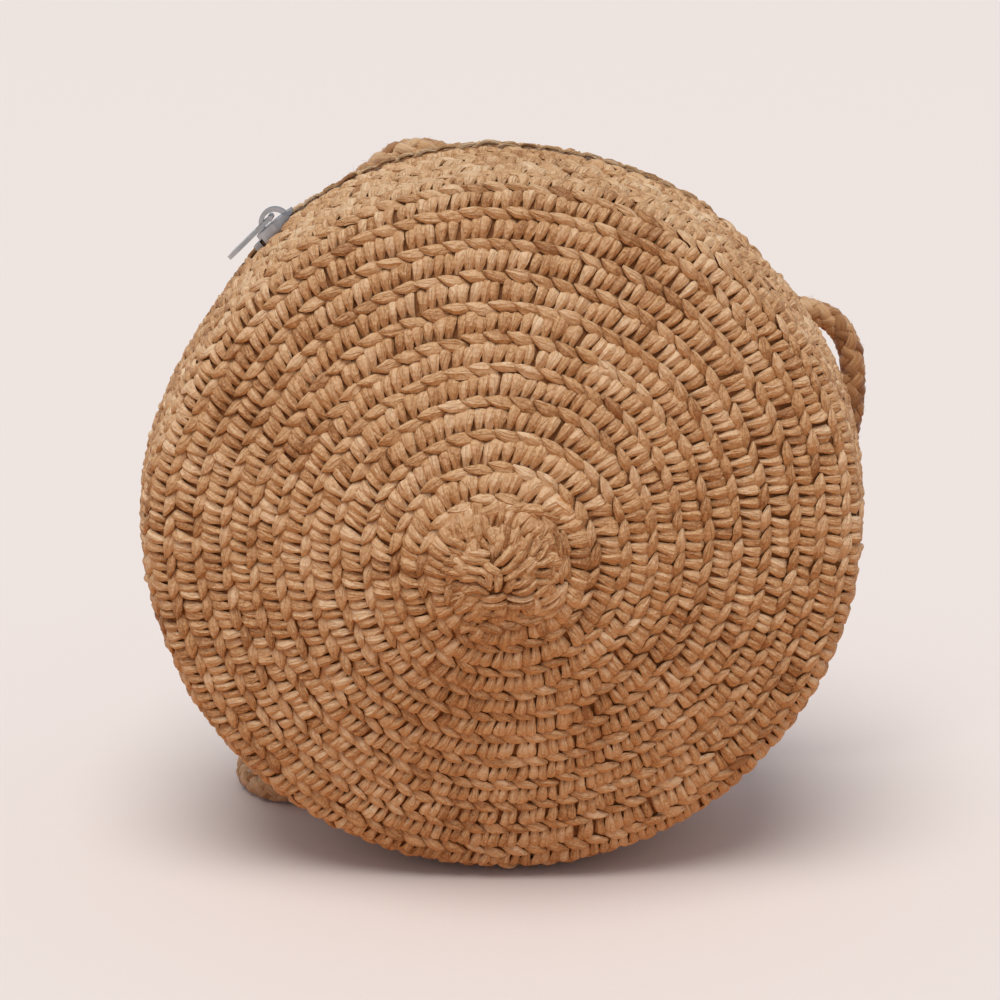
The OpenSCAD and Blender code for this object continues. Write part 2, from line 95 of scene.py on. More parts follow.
# Painted shade: where the right loop hangs down in the bag's shade, the raffia is
# coloured darker over a stretch about this far from its end, in mm
PAINTED_SHADE_SHARE, PAINTED_SHADE_AT, PAINTED_SHADE_LENGTH = 0.5, 72.0, 26.0

HOLE_RADIUS, HOLE_DEPTH, HOLE_ANGLE, FACE_SLOPE = 73.518, 38.445, 56.0, 20.0
CENTRE_Z = 88.0
KNOT_OFF = 5.7
RIGHT_ROUTE = [
    (63, 45.6, 129.8), (66.6, 51.5, 128.7), (71.6, 55.3, 127.6), (77.3, 57, 126.7),
    (83, 57.2, 125.7), (87.9, 56.7, 123.9), (91.6, 55.9, 120.6), (93.9, 55.2, 115.9),
    (94.9, 54.5, 110.2), (95, 53.8, 104.2), (94.5, 53.1, 98), (93.1, 52.5, 91.5),
    (89.6, 51.6, 85.3),
    (84.3, 50.3, 80), (78, 49, 75.3), (71.5, 48.2, 70.6), (65, 48.3, 65.5),
    (59.3, 49.3, 59.3), (54.7, 51, 52), (51.3, 53, 44), (48.8, 55.5, 35.5),
    (47.2, 58.5, 27), (46.3, 63, 18.8), (46, 69.5, 12), (46, 77.5, 8), (46, 86, 7.2)]
LEFT_ROUTE = [
    (-62.7, 44.8, 130.2), (-65, 52.3, 131.8), (-65.4, 59.2, 136.2), (-61.8, 62.8, 143),
    (-55, 61.3, 149.3), (-47.4, 57, 154), (-40.2, 51.5, 158.8), (-33.3, 45.8, 164.6),
    (-26.6, 41.8, 169.6), (-19.2, 41.4, 170.5), (-12.7, 44.6, 167.4),
    (-8.8, 49.4, 161), (-7.8, 54.8, 152), (-10.5, 58.6, 141.5), (-15.7, 59.8, 130.5),
    (-22.5, 59, 118.5), (-29.5, 57.6, 105.5), (-36, 56.6, 92), (-41.6, 56.3, 78),
    (-46.2, 56.8, 64), (-50, 57.4, 50.5), (-54, 57.8, 37.5), (-58.6, 56.2, 25),
    (-63.4, 51.3, 14), (-67.2, 43.5, 6.8), (-68.8, 34, 3.8), (-66.9, 24.8, 3.7),
    (-60.8, 17.9, 3.7), (-52.3, 16.3, 3.7), (-44.7, 20.2, 3.7), (-40.7, 28.3, 3.7),
    (-39.8, 39, 3.7), (-39.8, 52, 3.7), (-39, 65, 3.8), (-37.8, 77.5, 4.2),
    (-36.6, 89.5, 4.7)]
ROLL_X, ROLL_Y, ROLL_R, ROLL_TURNS = 5.0, 108.0, 31.5, 2.5
TURN_PITCH, ROLL_Z, ROLL_LAYER = 7.6, 4.8, 7.5


def linear(hex_colour):
    """sRGB hex colour to linear RGBA: ((c + 0.055) / 1.055) ** 2.4 above 0.04045."""
    c = np.array([int(hex_colour[i:i + 2], 16) for i in (1, 3, 5)]) / 255.0
    c = np.where(c > 0.04045, ((c + 0.055) / 1.055) ** 2.4, c / 12.92)
    return (*c.tolist(), 1.0)


def hole_normal(side):
    """Normal of the back cup's face at a strap hole, which leans out by its slope."""
    turn, slope = np.radians(side * HOLE_ANGLE), np.radians(FACE_SLOPE)
    return np.array([np.sin(slope) * np.sin(turn), np.cos(slope), np.sin(slope) * np.cos(turn)])


def hole_point(side, off):
    """Point above a strap hole: the hole's place on the face of the back cup, plus off
    along the face's normal."""
    turn = np.radians(side * HOLE_ANGLE)
    return off * hole_normal(side) + (
        HOLE_RADIUS * np.sin(turn), HOLE_DEPTH, CENTRE_Z + HOLE_RADIUS * np.cos(turn))


def roll_points(per_turn=24):
    """Roll of the strap: a circle whose radius shrinks to ROLL_R at half way and grows
    again, while the height climbs one layer smoothly about half way."""
    turn = np.arange(ROLL_TURNS * per_turn + 1) / per_turn
    half = ROLL_TURNS / 2
    r = ROLL_R + TURN_PITCH * np.abs(turn - half)
    climb = np.clip(2 * (turn - half) + 0.5, 0, 1)
    a = np.pi - 2 * np.pi * turn
    return np.column_stack([ROLL_X + r * np.cos(a), ROLL_Y + r * np.sin(a),
                            ROLL_Z + ROLL_LAYER * climb ** 2 * (3 - 2 * climb)])


def smooth_path(points, step, samples=12):
    """Catmull-Rom curve through the points, sampled at equal steps of its length."""
    p = np.asarray(points, float)
    p = np.vstack([2 * p[0] - p[1], p, 2 * p[-1] - p[-2]])
    t = np.linspace(0, 1, samples, endpoint=False)[:, None]
    a, b, c, d = (p[i:len(p) - 3 + i, None, :] for i in range(4))
    curve = 0.5 * (2 * b + (c - a) * t + (2 * a - 5 * b + 4 * c - d) * t ** 2
                   + (3 * b - a - 3 * c + d) * t ** 3)
    curve = np.vstack([curve.reshape(-1, 3), p[-2]])
    length = np.r_[0, np.cumsum(np.linalg.norm(np.diff(curve, axis=0), axis=1))]
    at = np.linspace(0, length[-1], int(round(length[-1] / step)) + 1)
    return np.column_stack([np.interp(at, length, curve[:, i]) for i in range(3)]), at


def unit(vectors):
    """The vectors, brought to the length one."""
    return vectors / np.linalg.norm(vectors, axis=-1, keepdims=True)


def path_frames(path):
    """Tangent and two side vectors along a path, turned as little as possible: each
    side vector is the last one with its part along the new tangent taken away."""
    tangent = unit(np.gradient(path, axis=0))
    side = np.empty_like(path)
    v = np.cross(tangent[0], (0.0, 1.0, 0.3))
    for i, t in enumerate(tangent):
        v = unit(v - (v @ t) * t)
        side[i] = v
    return tangent, side, np.cross(tangent, side)


def grid_faces(rows, around):
    """Quads of a tube of rows rings with around points each, and its two end caps."""
    i = np.arange(rows - 1)[:, None] * around
    k = np.arange(around)[None, :]
    n = (k + 1) % around
    quads = np.stack([i + k, i + n, i + around + n, i + around + k], -1).reshape(-1, 4)
    caps = [list(range(around))[::-1], [(rows - 1) * around + j for j in range(around)]]
    return quads, caps


def new_mesh(name, material, vertices, quads, ngons=(), tones=None, uv=None, smooth=True):
    """Mesh object in metres from millimetre vertices, quads and a few larger faces, with
    its material, and with a tone and a UV for each vertex."""
    mesh = bpy.data.meshes.new(name)
    ngons = [list(g) for g in ngons]
    loops = np.concatenate([np.asarray(quads).ravel()] + [np.asarray(g) for g in ngons])
    sizes = np.r_[np.full(len(quads), np.shape(quads)[1]), [len(g) for g in ngons]].astype(int)
    mesh.vertices.add(len(vertices))
    mesh.vertices.foreach_set("co", (np.asarray(vertices) * MM).astype(np.float32).ravel())
    mesh.loops.add(len(loops))
    mesh.loops.foreach_set("vertex_index", loops.astype(np.int32))
    mesh.polygons.add(len(sizes))
    starts = np.r_[0, np.cumsum(sizes)[:-1]].astype(np.int32)
    mesh.polygons.foreach_set("loop_start", starts)
    if uv is not None:
        layer = mesh.uv_layers.new(name="UVMap")
        layer.data.foreach_set("uv", np.asarray(uv)[loops].astype(np.float32).ravel())
    if tones is not None:
        tone = mesh.attributes.new("tone", "FLOAT", "POINT")
        tone.data.foreach_set("value", tones.astype(np.float32))
    mesh.update(calc_edges=True)
    mesh.polygons.foreach_set("use_smooth", np.full(len(sizes), smooth))
    mesh.validate()
    mesh.materials.append(material)
    piece = bpy.data.objects.new(name, mesh)
    scene.collection.objects.link(piece)
    return piece


def feed(tree, made, **links):
    """Links sources to the sockets of a node. A link gives a socket's name, with spaces
    as underscores, or its number after an underscore, and the socket that feeds it."""
    for key, source in links.items():
        socket = int(key[1:]) if key[1:].isdigit() else key.replace("_", " ")
        tree.links.new(source, made.inputs[socket])


def node(tree, kind, settings=None, **links):
    """Adds one shader node, fed by its links. Settings sets its properties, its sockets
    by name or number, and the stops of a colour ramp: (position, hex colour) each."""
    made = tree.nodes.new(kind)
    for key, value in (settings or {}).items():
        if key == "stops":
            elements = made.color_ramp.elements
            while len(elements) < len(value):
                elements.new(0.5)
            for element, (position, colour) in zip(elements, value):
                element.position, element.color = position, linear(colour)
        elif isinstance(key, int) or key in made.inputs:
            made.inputs[key].default_value = value
        else:
            setattr(made, key, value)
    feed(tree, made, **links)
    return made


def new_material(name, roughness, **settings):
    """Material with a Principled shader, whose constants are set on its own sockets."""
    material = bpy.data.materials.new(name)
    material.use_nodes = True
    tree = material.node_tree
    shader = tree.nodes["Principled BSDF"]
    shader.inputs["Roughness"].default_value = roughness
    for key, value in settings.items():
        shader.inputs[key.replace("_", " ")].default_value = value
    return material, tree, shader


# Raffia yarn: matt, with fine fibres along the yarn that catch the light. UV runs along
# the yarn in millimetres and across it from 0 to 2. The fibres are drawn coarse.
FIBRES_PER_MM, FIBRES_ACROSS, FIBRE_SHARE = 0.35, 9.0, 0.55
rope_material, tree, shader = new_material("braided_raffia_yarn", 0.78, IOR=1.5,
                                           Sheen_Weight=0.35, Sheen_Roughness=0.5)
rope_uv = node(tree, "ShaderNodeUVMap", {"uv_map": "UVMap"}).outputs["UV"]
fibre_map = node(tree, "ShaderNodeMapping", {"Scale": (FIBRES_PER_MM, FIBRES_ACROSS, 1)},
                 Vector=rope_uv).outputs["Vector"]
fibres = node(tree, "ShaderNodeTexNoise", {"Scale": 1.0, "Detail": 3.0},
              Vector=fibre_map).outputs["Fac"]
yarn_tone = node(tree, "ShaderNodeAttribute", {"attribute_name": "tone"}).outputs["Fac"]
yarn_tone = node(tree, "ShaderNodeMath", {"operation": "MULTIPLY", 1: 1 - FIBRE_SHARE},
                 _0=yarn_tone).outputs[0]
rope_tone = node(tree, "ShaderNodeMath", {"operation": "MULTIPLY_ADD", 1: FIBRE_SHARE},
                 _0=fibres, _2=yarn_tone).outputs[0]
raffia = node(tree, "ShaderNodeValToRGB", {"stops": [
    (0.05, "#6A3C17"), (0.32, "#9A6A3C"), (0.5, "#C09464"), (0.75, "#E0C29C")]}, Fac=rope_tone)
fibre_bump = node(tree, "ShaderNodeBump", {"Strength": 0.5, "Distance": 0.25 * MM},
                  Height=fibres)
feed(tree, shader, Base_Color=raffia.outputs["Color"], Normal=fibre_bump.outputs["Normal"])


def braid(path, at, rng):
    """Round braid about a path. Yarn k of one way lies at the angle
    way * 2 pi s / pitch + 2 pi k / yarns, at the mean radius plus
    way * swing * cos(2 pi yarns s / pitch), so that it goes over and under the yarns
    of the other way in turn. Its section is a flat ellipse."""
    side, up = path_frames(path)[1:]
    middle_r = ROPE_D / 2 - YARN_THICKNESS / 2 - YARN_SWING * SWING_IN_SHARE
    s = at[:, None]
    around = 2 * np.pi * np.arange(YARN_SIDES) / YARN_SIDES
    vertices, uvs, tones, quads, caps = [], [], [], [], []
    base, ring_caps = grid_faces(len(path), YARN_SIDES)
    for way in (1, -1):
        for k in range(YARNS_EACH_WAY):
            angle = (way * 2 * np.pi * s / BRAID_PITCH + 2 * np.pi * k / YARNS_EACH_WAY
                     + ANGLE_WAVE[0] * np.sin(s / ANGLE_WAVE[1] + 2.1 * k + way))
            wobble = RADIUS_WAVE[0] * np.sin(s / RADIUS_WAVE[1] + 1.7 * k) * way
            radius = middle_r + wobble + way * YARN_SWING * np.cos(
                2 * np.pi * YARNS_EACH_WAY * s / BRAID_PITCH)
            outward = np.cos(angle) * side + np.sin(angle) * up
            centre = path + radius * outward
            run = unit(np.gradient(centre, axis=0))
            across = unit(np.cross(run, outward))
            outward = np.cross(across, run)
            width = YARN_WIDTH / 2 * (
                1 + WIDTH_WAVE[0] * np.sin(s / WIDTH_WAVE[1] + k + 3 * way))
            ring = (centre[:, None, :]
                    + (width * np.cos(around))[..., None] * across[:, None, :]
                    + (YARN_THICKNESS / 2 * np.sin(around))[None, :, None]
                    * outward[:, None, :])
            offset = len(vertices) * ring.shape[0] * YARN_SIDES
            vertices.append(ring.reshape(-1, 3))
            uvs.append(np.column_stack([
                np.repeat(at, YARN_SIDES) + YARN_UV_SHIFT * k + WAY_UV_SHIFT * way,
                np.tile(around / (2 * np.pi) * 2, len(path))]))
            tones.append(np.full(ring.shape[0] * YARN_SIDES, rng.uniform(*YARN_TONES)))
            quads.append(base + offset)
            caps += [[i + offset for i in cap] for cap in ring_caps]
    return (np.vstack(vertices), np.vstack(quads), caps, np.concatenate(tones),
            np.vstack(uvs))


roll = roll_points()
roll_in = roll[0] - (0, ROPE_D, 0)
roll_out = roll[-1] - (0, ROPE_D, 0)
strap_points = np.vstack([hole_point(-1, -KNOT_OFF), hole_point(-1, 0), LEFT_ROUTE,
                          roll_in, roll, roll_out, RIGHT_ROUTE[::-1],
                          hole_point(1, 0), hole_point(1, -KNOT_OFF)])
strap_path, strap_at = smooth_path(strap_points, ROPE_RING_STEP)
rope_rng = np.random.default_rng(7)
verts, quads, caps, tones, uvs = braid(strap_path, strap_at, rope_rng)
along = np.tile(np.repeat(strap_at, YARN_SIDES), 2 * YARNS_EACH_WAY)
# The right loop's stretch is coloured darker here: painted shade.
tones = tones - PAINTED_SHADE_SHARE * np.exp(-((along - strap_at[-1] + PAINTED_SHADE_AT) / PAINTED_SHADE_LENGTH) ** 2)
strap = new_mesh("strap_rope", rope_material, verts, quads, caps, tones, uvs)
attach(strap, "bag")
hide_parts("strap_left_run", "strap_roll", "strap_right_run")

# Loose fibres stand off the yarn and give the rope its fuzz: short bent hairs of
# three sides, in the rope's own finish.
HAIRS_PER_MM = 3.2
HAIR_LENGTH = (0.8, 2.4)
HAIR_D, HAIR_SIDES = 0.07, 3
HAIR_TAPER = np.array([1, 0.9, 0.5])
# How far a hair leans out, at most along the rope and at most round it
HAIR_OUT, HAIR_ALONG, HAIR_ROUND = 0.55, 1.3, 0.9
HAIR_CURL, HAIR_DROOP = 0.6, 0.25
HAIR_ROOT, HAIR_LOWEST = 0.45, 0.15
HAIR_TONES = (0.4, 1)
HAIR_POINTS = HAIR_SIDES * len(HAIR_TAPER)


def hairs(path, at, rng):
    """Hairs on the rope: each starts under the rope's skin and runs along
    direction * u + curl * u * u / 2 for u from 0 to 1. Returns points, quads, caps and
    how many hairs there are."""
    count = int(at[-1] * HAIRS_PER_MM)
    tangent, side, up = path_frames(path)
    i = rng.integers(2, len(path) - 2, count)
    a = rng.uniform(0, 2 * np.pi, count)[:, None]
    out = np.cos(a) * side[i] + np.sin(a) * up[i]
    turn = -np.sin(a) * side[i] + np.cos(a) * up[i]
    lean = rng.uniform(-HAIR_ALONG, HAIR_ALONG, count)[:, None] * tangent[i]
    lean += rng.uniform(-HAIR_ROUND, HAIR_ROUND, count)[:, None] * turn
    length = rng.uniform(*HAIR_LENGTH, count)[:, None]
    start = path[i] + (ROPE_D / 2 - HAIR_ROOT) * out
    direction = unit(HAIR_OUT * out + lean)
    curl = rng.uniform(-HAIR_CURL, HAIR_CURL, count)[:, None] * turn - HAIR_DROOP * out
    across = unit(np.cross(direction, out) + 1e-6)
    other = np.cross(direction, across)
    u = np.linspace(0, 1, len(HAIR_TAPER))[None, :, None]
    centre = start[:, None] + length[:, None] * (direction[:, None] * u
                                                 + curl[:, None] * u ** 2 * 0.5)
    centre[..., 2] = np.maximum(centre[..., 2], HAIR_LOWEST)
    corner = (2 * np.pi * np.arange(HAIR_SIDES) / HAIR_SIDES)[None, None, :, None]
    ring = HAIR_D / 2 * (across[:, None, None] * np.cos(corner)
                         + other[:, None, None] * np.sin(corner))
    points = centre[:, :, None] + ring * HAIR_TAPER[None, :, None, None]
    quads, ring_caps = grid_faces(len(HAIR_TAPER), HAIR_SIDES)
    shift = (np.arange(count) * HAIR_POINTS)[:, None, None]
    caps = (np.array(ring_caps)[None] + shift).reshape(-1, HAIR_SIDES)
    return points.reshape(-1, 3), (quads[None] + shift).reshape(-1, 4), caps, count


hair_v, hair_q, hair_caps, hair_count = hairs(strap_path, strap_at, rope_rng)
hair_tones = np.repeat(rope_rng.uniform(*HAIR_TONES, hair_count), HAIR_POINTS)
fuzz = new_mesh("strap_fuzz", rope_material, hair_v, hair_q, hair_caps, hair_tones,
                np.tile([[0.0, 0.5]], (len(hair_v), 1)))
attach(fuzz, "bag")

# The tie is a strip of cotton laid once round all the turns of the roll. Its section is
# given across the strip as shares of its width, and outwards of its thickness.
TIE_WIDTH, TIE_THICKNESS, TIE_GAP, TIE_POINTS = 4.0, 0.8, 0.12, 96
TIE_ACROSS = np.array([-0.5, -0.42, 0.42, 0.5, 0.42, -0.42])
TIE_LIFT = np.array([0.5, 1.0, 1.0, 0.5, 0.0, 0.0])
# A wave texture of scale 1 has about three waves to a unit of length
WAVES_PER_SCALE = 3.0
TIE_THREADS_PER_MM = 4.8
tie_material, tree, shader = new_material("plain_woven_cotton_tape", 0.85, IOR=1.5)
tape_uv = node(tree, "ShaderNodeUVMap", {"uv_map": "UVMap"}).outputs["UV"]
weft, warp = (
    node(tree, "ShaderNodeTexWave", {"Scale": TIE_THREADS_PER_MM / WAVES_PER_SCALE,
                                     "bands_direction": way, "Distortion": 0.6},
         Vector=tape_uv).outputs["Fac"] for way in "XY")
threads = node(tree, "ShaderNodeMath", {"operation": "MULTIPLY"}, _0=weft, _1=warp).outputs[0]
ecru = node(tree, "ShaderNodeValToRGB", {"stops": [(0.0, "#B9AB95"), (0.5, "#E2D7C3")]},
            Fac=threads)
thread_bump = node(tree, "ShaderNodeBump", {"Strength": 0.6, "Distance": 0.15 * MM},
                   Height=threads)
feed(tree, shader, Base_Color=ecru.outputs["Color"], Normal=thread_bump.outputs["Normal"])


def tie_band():
    """Closed band pulled tight round the turns of the roll, in the plane across the rope:
    in each direction it goes round the middle of the furthest turn, at the rope's radius
    and a gap. Returns its points and how far round each of them lies."""
    low, high = (np.array(c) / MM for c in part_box("strap_tie"))
    middle = (low[0] + high[0]) / 2
    side = np.sign(strap_path[:, 0] - middle)
    held = (strap_path[:, 1] > low[1]) & (strap_path[:, 1] < high[1])
    turns = strap_path[np.flatnonzero((side[1:] != side[:-1]) & held[1:]), 1:]
    a = np.linspace(0, 2 * np.pi, TIE_POINTS, endpoint=False)
    out = np.column_stack([np.cos(a), np.sin(a)])
    core = turns[np.argmax(out @ turns.T, axis=1)]
    x = middle + TIE_WIDTH * TIE_ACROSS
    radius = ROPE_D / 2 + TIE_GAP + TIE_THICKNESS * TIE_LIFT
    rings = np.stack([np.column_stack([np.full(TIE_POINTS, xi), core + r * out])
                      for xi, r in zip(x, radius)], 1)
    step = np.linalg.norm(np.diff(rings[:, 1], axis=0), axis=1)
    return rings.reshape(-1, 3), np.r_[0, np.cumsum(step)]


tie_v, tie_along = tie_band()
this_ring = np.arange(len(tie_v)).reshape(TIE_POINTS, -1)
next_ring = np.roll(this_ring, -1, 0)
tie_q = np.stack([this_ring, next_ring, np.roll(next_ring, -1, 1), np.roll(this_ring, -1, 1)], -1)
tie_uv = np.column_stack([np.repeat(tie_along, len(TIE_ACROSS)),
                          np.tile(TIE_WIDTH * TIE_ACROSS, TIE_POINTS)])
tie = new_mesh("strap_tie_tape", tie_material, tie_v, tie_q.reshape(-1, 4), uv=tie_uv)
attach(tie, "bag")
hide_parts("strap_tie")

# Each end of the rope is held inside the bag by a stopper knot of the same braid.
KNOT_R, KNOT_DEPTH, KNOT_RISE, KNOT_STEP = 4.3, 6.6, 3.4, 1.6
KNOT_FROM, KNOT_TO, KNOT_POINTS = 0.35, 5.75, 44
TREFOIL_SIZE = 2.6


def knot_path(side):
    """Overhand knot under a strap hole: most of a trefoil, (sin t + 2 sin 2t,
    cos t - 2 cos 2t, -sin 3t), flattened along the hole's axis."""
    t = np.linspace(KNOT_FROM, KNOT_TO, KNOT_POINTS)[:, None]
    x = (np.sin(t) + 2 * np.sin(2 * t)) * KNOT_R / TREFOIL_SIZE
    y = (np.cos(t) - 2 * np.cos(2 * t)) * KNOT_R / TREFOIL_SIZE
    z = -KNOT_DEPTH - KNOT_RISE * np.sin(3 * t)
    turn = np.radians(side * HOLE_ANGLE)
    out = hole_normal(side)
    along = np.array([np.cos(turn), 0.0, -np.sin(turn)])
    return hole_point(side, -KNOT_OFF) + x * along + y * np.cross(out, along) + z * out


for side, name in ((-1, "left"), (1, "right")):
    knot = new_mesh(f"knot_{name}", rope_material,
                    *braid(*smooth_path(knot_path(side), KNOT_STEP), rope_rng))
    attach(knot, "bag")
    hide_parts(f"strap_knot_{name}")

# The crocheted cups
# Each cup is crocheted in one spiral from the middle of its dome: a stitch is two
# upright legs of flat twisted paper straw under one leg of the chain. The rows run on
# over the rounded rim and down the side wall, and the shoulders have sunk a little.
BAG_R, FOOT_SAG, DOME_DEG, TIP_R, RIM_R = 90.0, 2.0, 20.0, 30.0, 12.0
SIDE_W, FLARE_DEG, WALL, BAND_W = 22.0, 8.0, 4.0, 10.0
ROWS, STITCH = 16, 5.15
EDGE_Y = BAND_W / 2
# The dome is uneven by this much, in slow waves outwards of these lengths / 2 pi
UNEVEN, UNEVEN_WAVES = 0.3, (11.3, 17.0)
# How far the outline has sunk at an angle from the top, clockwise: (degrees, mm)
SUNK = [(-180, 0), (-88, 0.1), (-80, 0.8), (-70, 2.3), (-60, 3.4), (-52, 3.5), (-45, 2.5),
        (-40, 1.8), (-33, 1.5), (-24, 1.1), (-12, 0.9), (0, 1.0), (12, 1.4), (22, 1.1),
        (35, 0.4), (52, 0.8), (65, 0.1), (180, 0)]
SUNK_SMOOTHED_DEG = 15
# Straw lower than this is pressed towards the floor, and the more so over a length
PRESSED_BELOW, PRESSED_OVER = 0.9, 1.3
# The rope spreads the straw by this much, with a reach round its hole, on the face alone
HOLE_SPREAD, FACE_MIN_Y = 3.0, 25.0
HOLE_REACH = 2.2 * HOLE_SPREAD
# Along the zip the open edge is a rolled selvedge: it rises over a width of the wall.
SELVEDGE_RISE, SELVEDGE_WIDTH, SELVEDGE_DEG = 0.8, 5.0, 42.0
# The rows of the face lie closer than even: a share at the top and one at the bottom
CLOSER_TOP, CLOSER_FOOT, CLOSER_UP_TO = 0.010, 0.054, 84.0

slope, flare = np.radians(DOME_DEG), np.radians(FLARE_DEG)
side_turn = np.pi / 2 - flare
rim_end = np.array([BAG_R - SIDE_W * np.sin(flare), EDGE_Y + SIDE_W * np.cos(flare)])
rim_centre = rim_end - RIM_R * np.array([np.sin(side_turn), np.cos(side_turn)])
face_end = rim_centre + RIM_R * np.array([np.sin(slope), np.cos(slope)])
face_start_r = TIP_R * np.sin(slope)
FACE_L = (face_end[0] - face_start_r) / np.cos(slope)
face_start_y = face_end[1] + FACE_L * np.sin(slope)
TIP_L = TIP_R * slope
RIM_L = RIM_R * (side_turn - slope)
EDGE_S = TIP_L + FACE_L + RIM_L + SIDE_W
ROW = EDGE_S / ROWS
sunk_at = np.linspace(-200, 200, 401)
sunk = np.interp((sunk_at + 180) % 360 - 180, *np.transpose(SUNK))
smoothing = np.hanning(SUNK_SMOOTHED_DEG)
sunk = np.convolve(sunk, smoothing / smoothing.sum(), "same")


def profile(s):
    """Radius, depth and normal angle of the cup at a distance s from the tip along its
    outline: an arc for the tip, a straight slope, an arc for the rim and the side."""
    s = np.asarray(s, float)
    tip = np.clip(s, -TIP_L, TIP_L) / TIP_R
    u = np.clip(s - TIP_L, 0, FACE_L)
    turn = slope + np.clip(s - TIP_L - FACE_L, 0, RIM_L) / RIM_R
    v = np.maximum(s - TIP_L - FACE_L - RIM_L, 0)
    r = TIP_R * np.sin(tip) + u * np.cos(slope)
    r += RIM_R * (np.sin(turn) - np.sin(slope)) + v * np.sin(flare)
    y = face_start_y + TIP_R * (np.cos(tip) - np.cos(slope)) - u * np.sin(slope)
    y += RIM_R * (np.cos(turn) - np.cos(slope)) - v * np.cos(flare)
    return r, y, np.where(s < TIP_L, tip, turn)


def settled(x, y, z):
    """The bag's own weight on a place: its radius shrinks by the sunk depth at its angle
    times (r / BAG_R) cubed, and what is under the floor is pressed flat on it."""
    dz = z - (BAG_R - FOOT_SAG)
    r = np.hypot(x, dz)
    sag = np.interp(np.degrees(np.arctan2(x, dz)), sunk_at, sunk) * (r / BAG_R) ** 3
    k = 1 - sag / np.maximum(r, 1)
    z = BAG_R - FOOT_SAG + dz * k
    deep = np.clip((z - PRESSED_BELOW) / PRESSED_OVER, -4, 0)
    z = np.where(z < PRESSED_BELOW, PRESSED_BELOW * np.exp(deep), z)
    return np.stack(np.broadcast_arrays(x * k, y, z), -1)


def on_cup(s, angle, h, back=False, spread=HOLE_SPREAD):
    """Place on a cup: the outline's point moved out by h, at an angle that runs
    clockwise from the top. Rows are drawn in by a share of s that dies out over the side.
    The dome is uneven by a product of slow waves. The back cup is the front one turned
    half round, and its straw is spread round the axes of the two strap holes."""
    s, angle, h = np.broadcast_arrays(*(np.asarray(v, float) for v in (s, angle, h)))
    closer = (CLOSER_TOP + CLOSER_FOOT) / 2 + (CLOSER_TOP - CLOSER_FOOT) / 2 * np.cos(angle)
    left = np.clip((EDGE_S - s) / (EDGE_S - CLOSER_UP_TO), 0, None)
    s = s - closer * np.minimum(s, CLOSER_UP_TO * left)
    r, y, turn = profile(s)
    h = h + UNEVEN * (np.sin(r / UNEVEN_WAVES[0] + 2.2 * np.sin(angle))
                      * np.cos(r / UNEVEN_WAVES[1] + 3 * angle))
    roll = np.clip((s - EDGE_S) / SELVEDGE_WIDTH + 1, 0, 1) ** 2 * (
        np.cos(angle) > np.cos(np.radians(SELVEDGE_DEG)))
    h = h + SELVEDGE_RISE * roll
    r = r + h * np.sin(turn)
    y = y + h * np.cos(turn)
    x, z = r * np.sin(angle), r * np.cos(angle)
    if back:
        x, y = -x, -y
        for side in (-1, 1):
            turn_to = np.radians(side * HOLE_ANGLE)
            axis_r = HOLE_RADIUS + h * np.sin(slope)
            hx, hz = axis_r * np.sin(turn_to), axis_r * np.cos(turn_to)
            far = np.hypot(x - hx, z - hz) + 1e-6
            push = spread * np.exp(-(far / HOLE_REACH) ** 2) / far
            push = np.where(y < FACE_MIN_Y, 0, push)
            x, z = x + push * (x - hx), z + push * (z - hz)
    return settled(x, -y, z + BAG_R - FOOT_SAG)


# Section of a straw: flat below, with one soft fold above. Each pair is a share of the
# half width and of the thickness above the straw's middle.
STRAW_SECTION = np.array([(-1.0, -0.30), (-0.88, 0.14), (-0.52, 0.44), (-0.06, 0.50),
                          (0.50, 0.30), (0.96, -0.12), (0.80, -0.46), (-0.72, -0.50)])
# Random spreads: of the section's two shares, of the turn along a straw, and in mm
ACROSS_SPREAD, LIFT_SPREAD, TWIST_SPREAD, CRUMPLE = 0.07, 0.05, 0.12, 0.055
# Each straw takes its creases from its own place in a pattern of this length and width
PATTERN_MM, PATTERN_STRAWS = 400, 40
# Past the open edge, less a margin, straws are pressed together by this share
EDGE_PRESS, EDGE_MARGIN = 0.85, 0.6
# Near the tip an angle is measured at no smaller radius than this
TIP_MIN_R = 3.0


def each(values):
    """A value for each straw, or one for all, shaped to go with all of a straw's points."""
    return np.asarray(values)[..., None, None]


def straws(length, half_width, thickness, widths, sideways, heights, rng):
    """Many short straws, each a tube of the straw's section with its own folds: p along
    the straw, q across it and h above the wall, from widths, a sideways shift and
    heights along it, with small random crumples. Returns p, q, h of the shape (straws,
    rings, corners) and UVs that follow the straw in millimetres."""
    count, rings = heights.shape
    corners = len(STRAW_SECTION)
    v = np.linspace(0, 1, rings)[None, :, None]
    flip = rng.choice((-1.0, 1.0), (count, 1, 1))
    across, lift = STRAW_SECTION.T[:, None, None]
    across = across * flip + rng.normal(0, ACROSS_SPREAD, (count, 1, corners))
    lift = lift + rng.normal(0, LIFT_SPREAD, (count, 1, corners))
    q = across * (each(half_width) * widths[:, None])
    twist = rng.normal(0, TWIST_SPREAD, (count, 1, 1))
    twist = twist + rng.normal(0, TWIST_SPREAD, (count, 1, 1)) * (v - 0.5)
    h = (lift * each(thickness) * np.minimum(0.3 + widths, 1)[:, None]
         + heights[..., None] + twist * q + rng.normal(0, CRUMPLE, q.shape))
    q = q + sideways[..., None] + rng.normal(0, CRUMPLE, q.shape)
    p = np.broadcast_to(v * each(length), q.shape)
    uv = np.stack(np.broadcast_arrays(
        p + rng.uniform(0, PATTERN_MM, (count, 1, 1)),
        across + rng.integers(0, PATTERN_STRAWS, (count, 1, 1)) * 2), -1)
    flipped = flip[:, 0, 0] < 0
    for values in (q, h, uv):
        values[flipped] = values[flipped][:, :, ::-1]
    return p, q, h, uv


